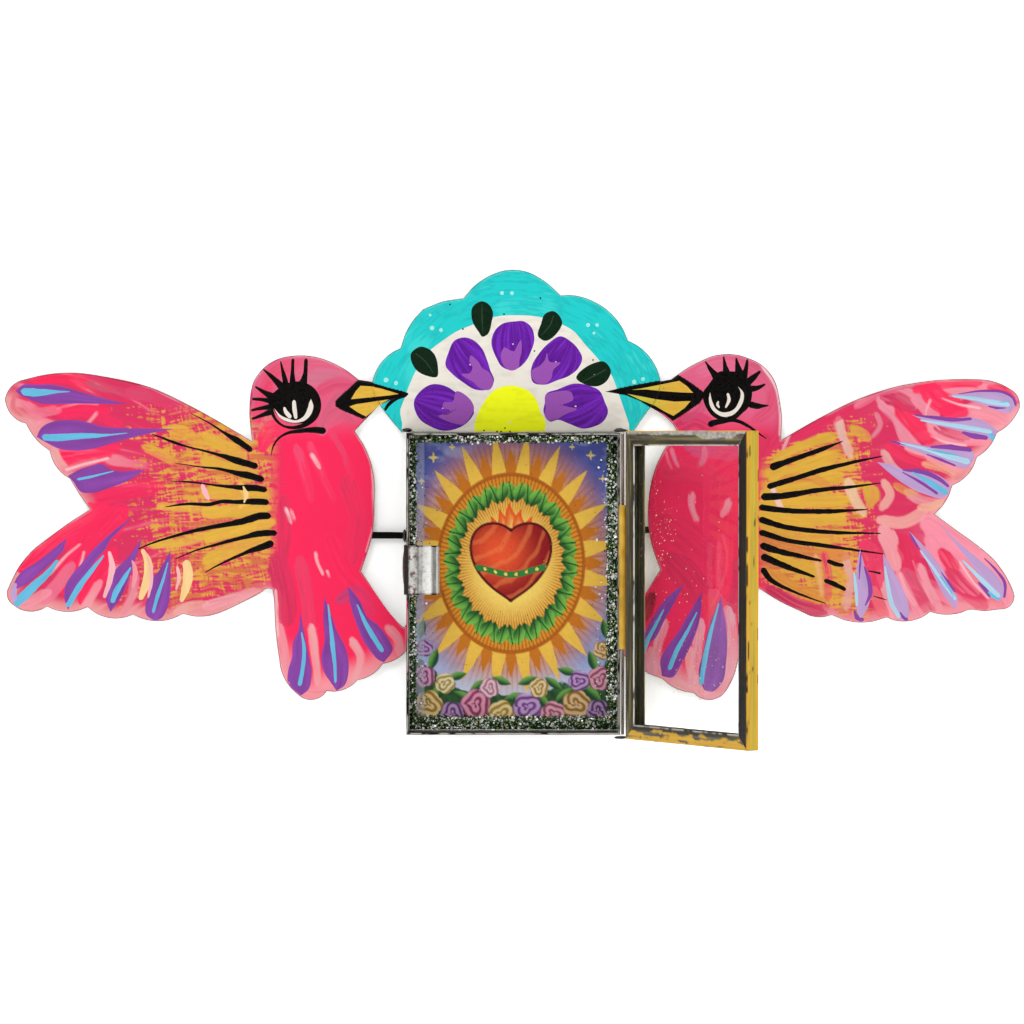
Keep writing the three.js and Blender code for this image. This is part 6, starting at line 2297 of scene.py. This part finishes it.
def make_stage(settings):
    """Pale wall and floor, lamps, a dark card for the metal to mirror, and the photograph's camera. The
    wall is clear from behind, where the back lamp shines through it."""
    tone = (STAGE_WHITE,) * 3
    square = np.array([(-1, -1), (1, -1), (1, 1), (-1, 1)]) * WALL_SIZE / 2
    wall_corners = [(x, WALL_Y, z) for x, z in square.tolist()]
    wall = add_plane("wall", wall_corners, flat_material("stage_wall", tone, one_sided=True))
    hide_from(wall, "diffuse", "glossy", "shadow")
    add_plane("floor", [(x, y, FLOOR_Z) for x, y in square.tolist()], flat_material("stage_white", tone))
    card = add_plane(
        "dark_card", [(-1.6, CARD_Y, -1.4), (-1.6, CARD_Y, 1.5), (1.6, CARD_Y, 1.5), (1.6, CARD_Y, -1.4)],
        flat_material("stage_dark", (0.02, 0.02, 0.02)),
    )
    hide_from(card, "camera", "diffuse", "shadow")
    scene = bpy.context.scene
    scene.view_settings.view_transform = "Standard"
    world = bpy.data.worlds.new("daylight")
    scene.world = world
    world.use_nodes = True
    nodes, links = world.node_tree.nodes, world.node_tree.links
    path = node(nodes, "LightPath")
    seen = maths(nodes, links, "MAXIMUM", path.outputs["Is Camera Ray"], path.outputs["Is Transmission Ray"])
    white_rays = maths(nodes, links, "MAXIMUM", seen, path.outputs["Is Glossy Ray"])
    level = node(nodes, "MapRange", To_Min=settings.ambient, To_Max=1.0)
    links.new(white_rays, level.inputs["Value"])
    sky = nodes["Background"]
    sky.inputs["Color"].default_value = (1, 1, 1, 1)
    links.new(level.outputs["Result"], sky.inputs["Strength"])
    target = (0, FRONT_Y, 0.03)
    for name, place, size, share in LAMPS:
        add_lamp(name, place, target, size, settings.key_power * share)
    camera = bpy.data.cameras.new("photograph")
    camera.sensor_width = SENSOR / MM
    camera.lens = SENSOR / MM * np.linalg.norm(AIM - EYE) / (PIXEL * 2 * MIDDLE)
    stand = bpy.data.objects.new("photograph", camera)
    stand.location = EYE
    stand.rotation_euler = Vector(AIM - EYE).to_track_quat("-Z", "Y").to_euler()
    scene.collection.objects.link(stand)
    scene.camera = stand


# Add-on


def colour_setting(name, description, code):
    """A colour that a user can change, with its default written as 0xRRGGBB."""
    return FloatVectorProperty(
        name=name, description=description, subtype="COLOR", size=3, min=0, max=1, default=paint(code)
    )


class ShrineSettings(bpy.types.PropertyGroup):
    """Sizes and colours that a user would change."""

    pink: colour_setting("Body pink", "Ground coat of both birds", 0xF42556)
    feather: colour_setting("Feather purple", "Dark feathers of both wings", 0x84429C)
    teal: colour_setting("Crown teal", "Ground coat of the crown", 0x1CCAC8)
    cream: colour_setting("Crown cream", "Arch behind the petals", 0xECE5DA)
    yellow: colour_setting("Crown yellow", "Dome at the foot of the crown", 0xF8FF12)
    petal: colour_setting("Petal purple", "Petals of the crown", 0x6C18A8)
    sheet_step: FloatProperty(
        name="Sheet step", description="Spacing of the points that carry the paint", unit="LENGTH",
        default=0.00041, min=0.0002, max=0.005, precision=5,
    )
    flake_count: IntProperty(
        name="Flakes", description="Flakes of glitter foil", default=11000, min=0, max=40000
    )
    print_light: FloatProperty(
        name="Print lightness", description="Factor on the print's colours", default=1.0, min=0, max=2
    )
    key_power: FloatProperty(
        name="Key lamp", description="Power of the key lamp", unit="POWER", default=6.3, min=0
    )
    ambient: FloatProperty(
        name="Ambient", description="Strength of the even light", default=0.72, min=0, max=2
    )


class ShrinePiece:
    """What the operators share: each makes its pieces from the scene's settings."""

    bl_options = {"REGISTER"}

    def execute(self, context):
        """Makes the pieces."""
        self.make(context.scene.shrine)
        return {"FINISHED"}


def shared_paints():
    """The enamel of the sheets and that of the films, made once."""
    sheet = bpy.data.materials.get("painted_tin") or painted_sheet("painted_tin")
    film = bpy.data.materials.get("brushwork") or enamel("brushwork", 0.34, coat=0.05)
    return sheet, film


class SHRINE_OT_birds(ShrinePiece, bpy.types.Operator):
    """Make both painted birds"""

    bl_idname = "shrine.birds"
    bl_label = "Birds"

    def make(self, settings):
        """Both birds."""
        make_left_bird(settings, shared_paints())
        make_right_bird(settings, shared_paints())


class SHRINE_OT_crown(ShrinePiece, bpy.types.Operator):
    """Make the painted crown"""

    bl_idname = "shrine.crown"
    bl_label = "Crown"

    def make(self, settings):
        """The crown."""
        make_crown(settings, *shared_paints())


class SHRINE_OT_inside(ShrinePiece, bpy.types.Operator):
    """Make the print and the glitter inside the box"""

    bl_idname = "shrine.inside"
    bl_label = "Print and glitter"

    def make(self, settings):
        """The print and the glitter."""
        make_print(settings)
        make_glitter(settings)


class SHRINE_OT_metal(ShrinePiece, bpy.types.Operator):
    """Make the rods and the solder, and give the metal pieces their materials"""

    bl_idname = "shrine.metal"
    bl_label = "Metal"

    def make(self, settings):
        """Rods, solder and the metal's materials."""
        dress_frame()
        make_box()
        make_door()
        make_specks()
        make_clasp()
        make_rods()
        make_solder()


class SHRINE_OT_stage(ShrinePiece, bpy.types.Operator):
    """Set the wall, the lamps and the camera"""

    bl_idname = "shrine.stage"
    bl_label = "Stage"

    def make(self, settings):
        """The stage."""
        make_stage(settings)


class SHRINE_PT_panel(bpy.types.Panel):
    """The shrine's settings and pieces"""

    bl_idname = "SHRINE_PT_panel"
    bl_label = "Tin shrine"
    bl_space_type = "VIEW_3D"
    bl_region_type = "UI"
    bl_category = "Shrine"

    def draw(self, context):
        """Shows every setting, then a button for each operator."""
        for name in ShrineSettings.__annotations__:
            self.layout.prop(context.scene.shrine, name)
        for operator in OPERATORS:
            self.layout.operator(operator.bl_idname)


OPERATORS = (SHRINE_OT_metal, SHRINE_OT_inside, SHRINE_OT_birds, SHRINE_OT_crown, SHRINE_OT_stage)


def register():
    """Adds the settings, the operators and the panel."""
    for kind in (ShrineSettings, *OPERATORS, SHRINE_PT_panel):
        bpy.utils.register_class(kind)
    bpy.types.Scene.shrine = PointerProperty(type=ShrineSettings)


def unregister():
    """Takes them away again."""
    del bpy.types.Scene.shrine
    for kind in (SHRINE_PT_panel, *reversed(OPERATORS), ShrineSettings):
        bpy.utils.unregister_class(kind)


def main():
    """Registers the add-on and builds everything in order."""
    register()
    bpy.ops.shrine.metal()
    bpy.ops.shrine.inside()
    bpy.ops.shrine.birds()
    bpy.ops.shrine.crown()
    bpy.ops.shrine.stage()


if __name__ == "__main__":
    main()
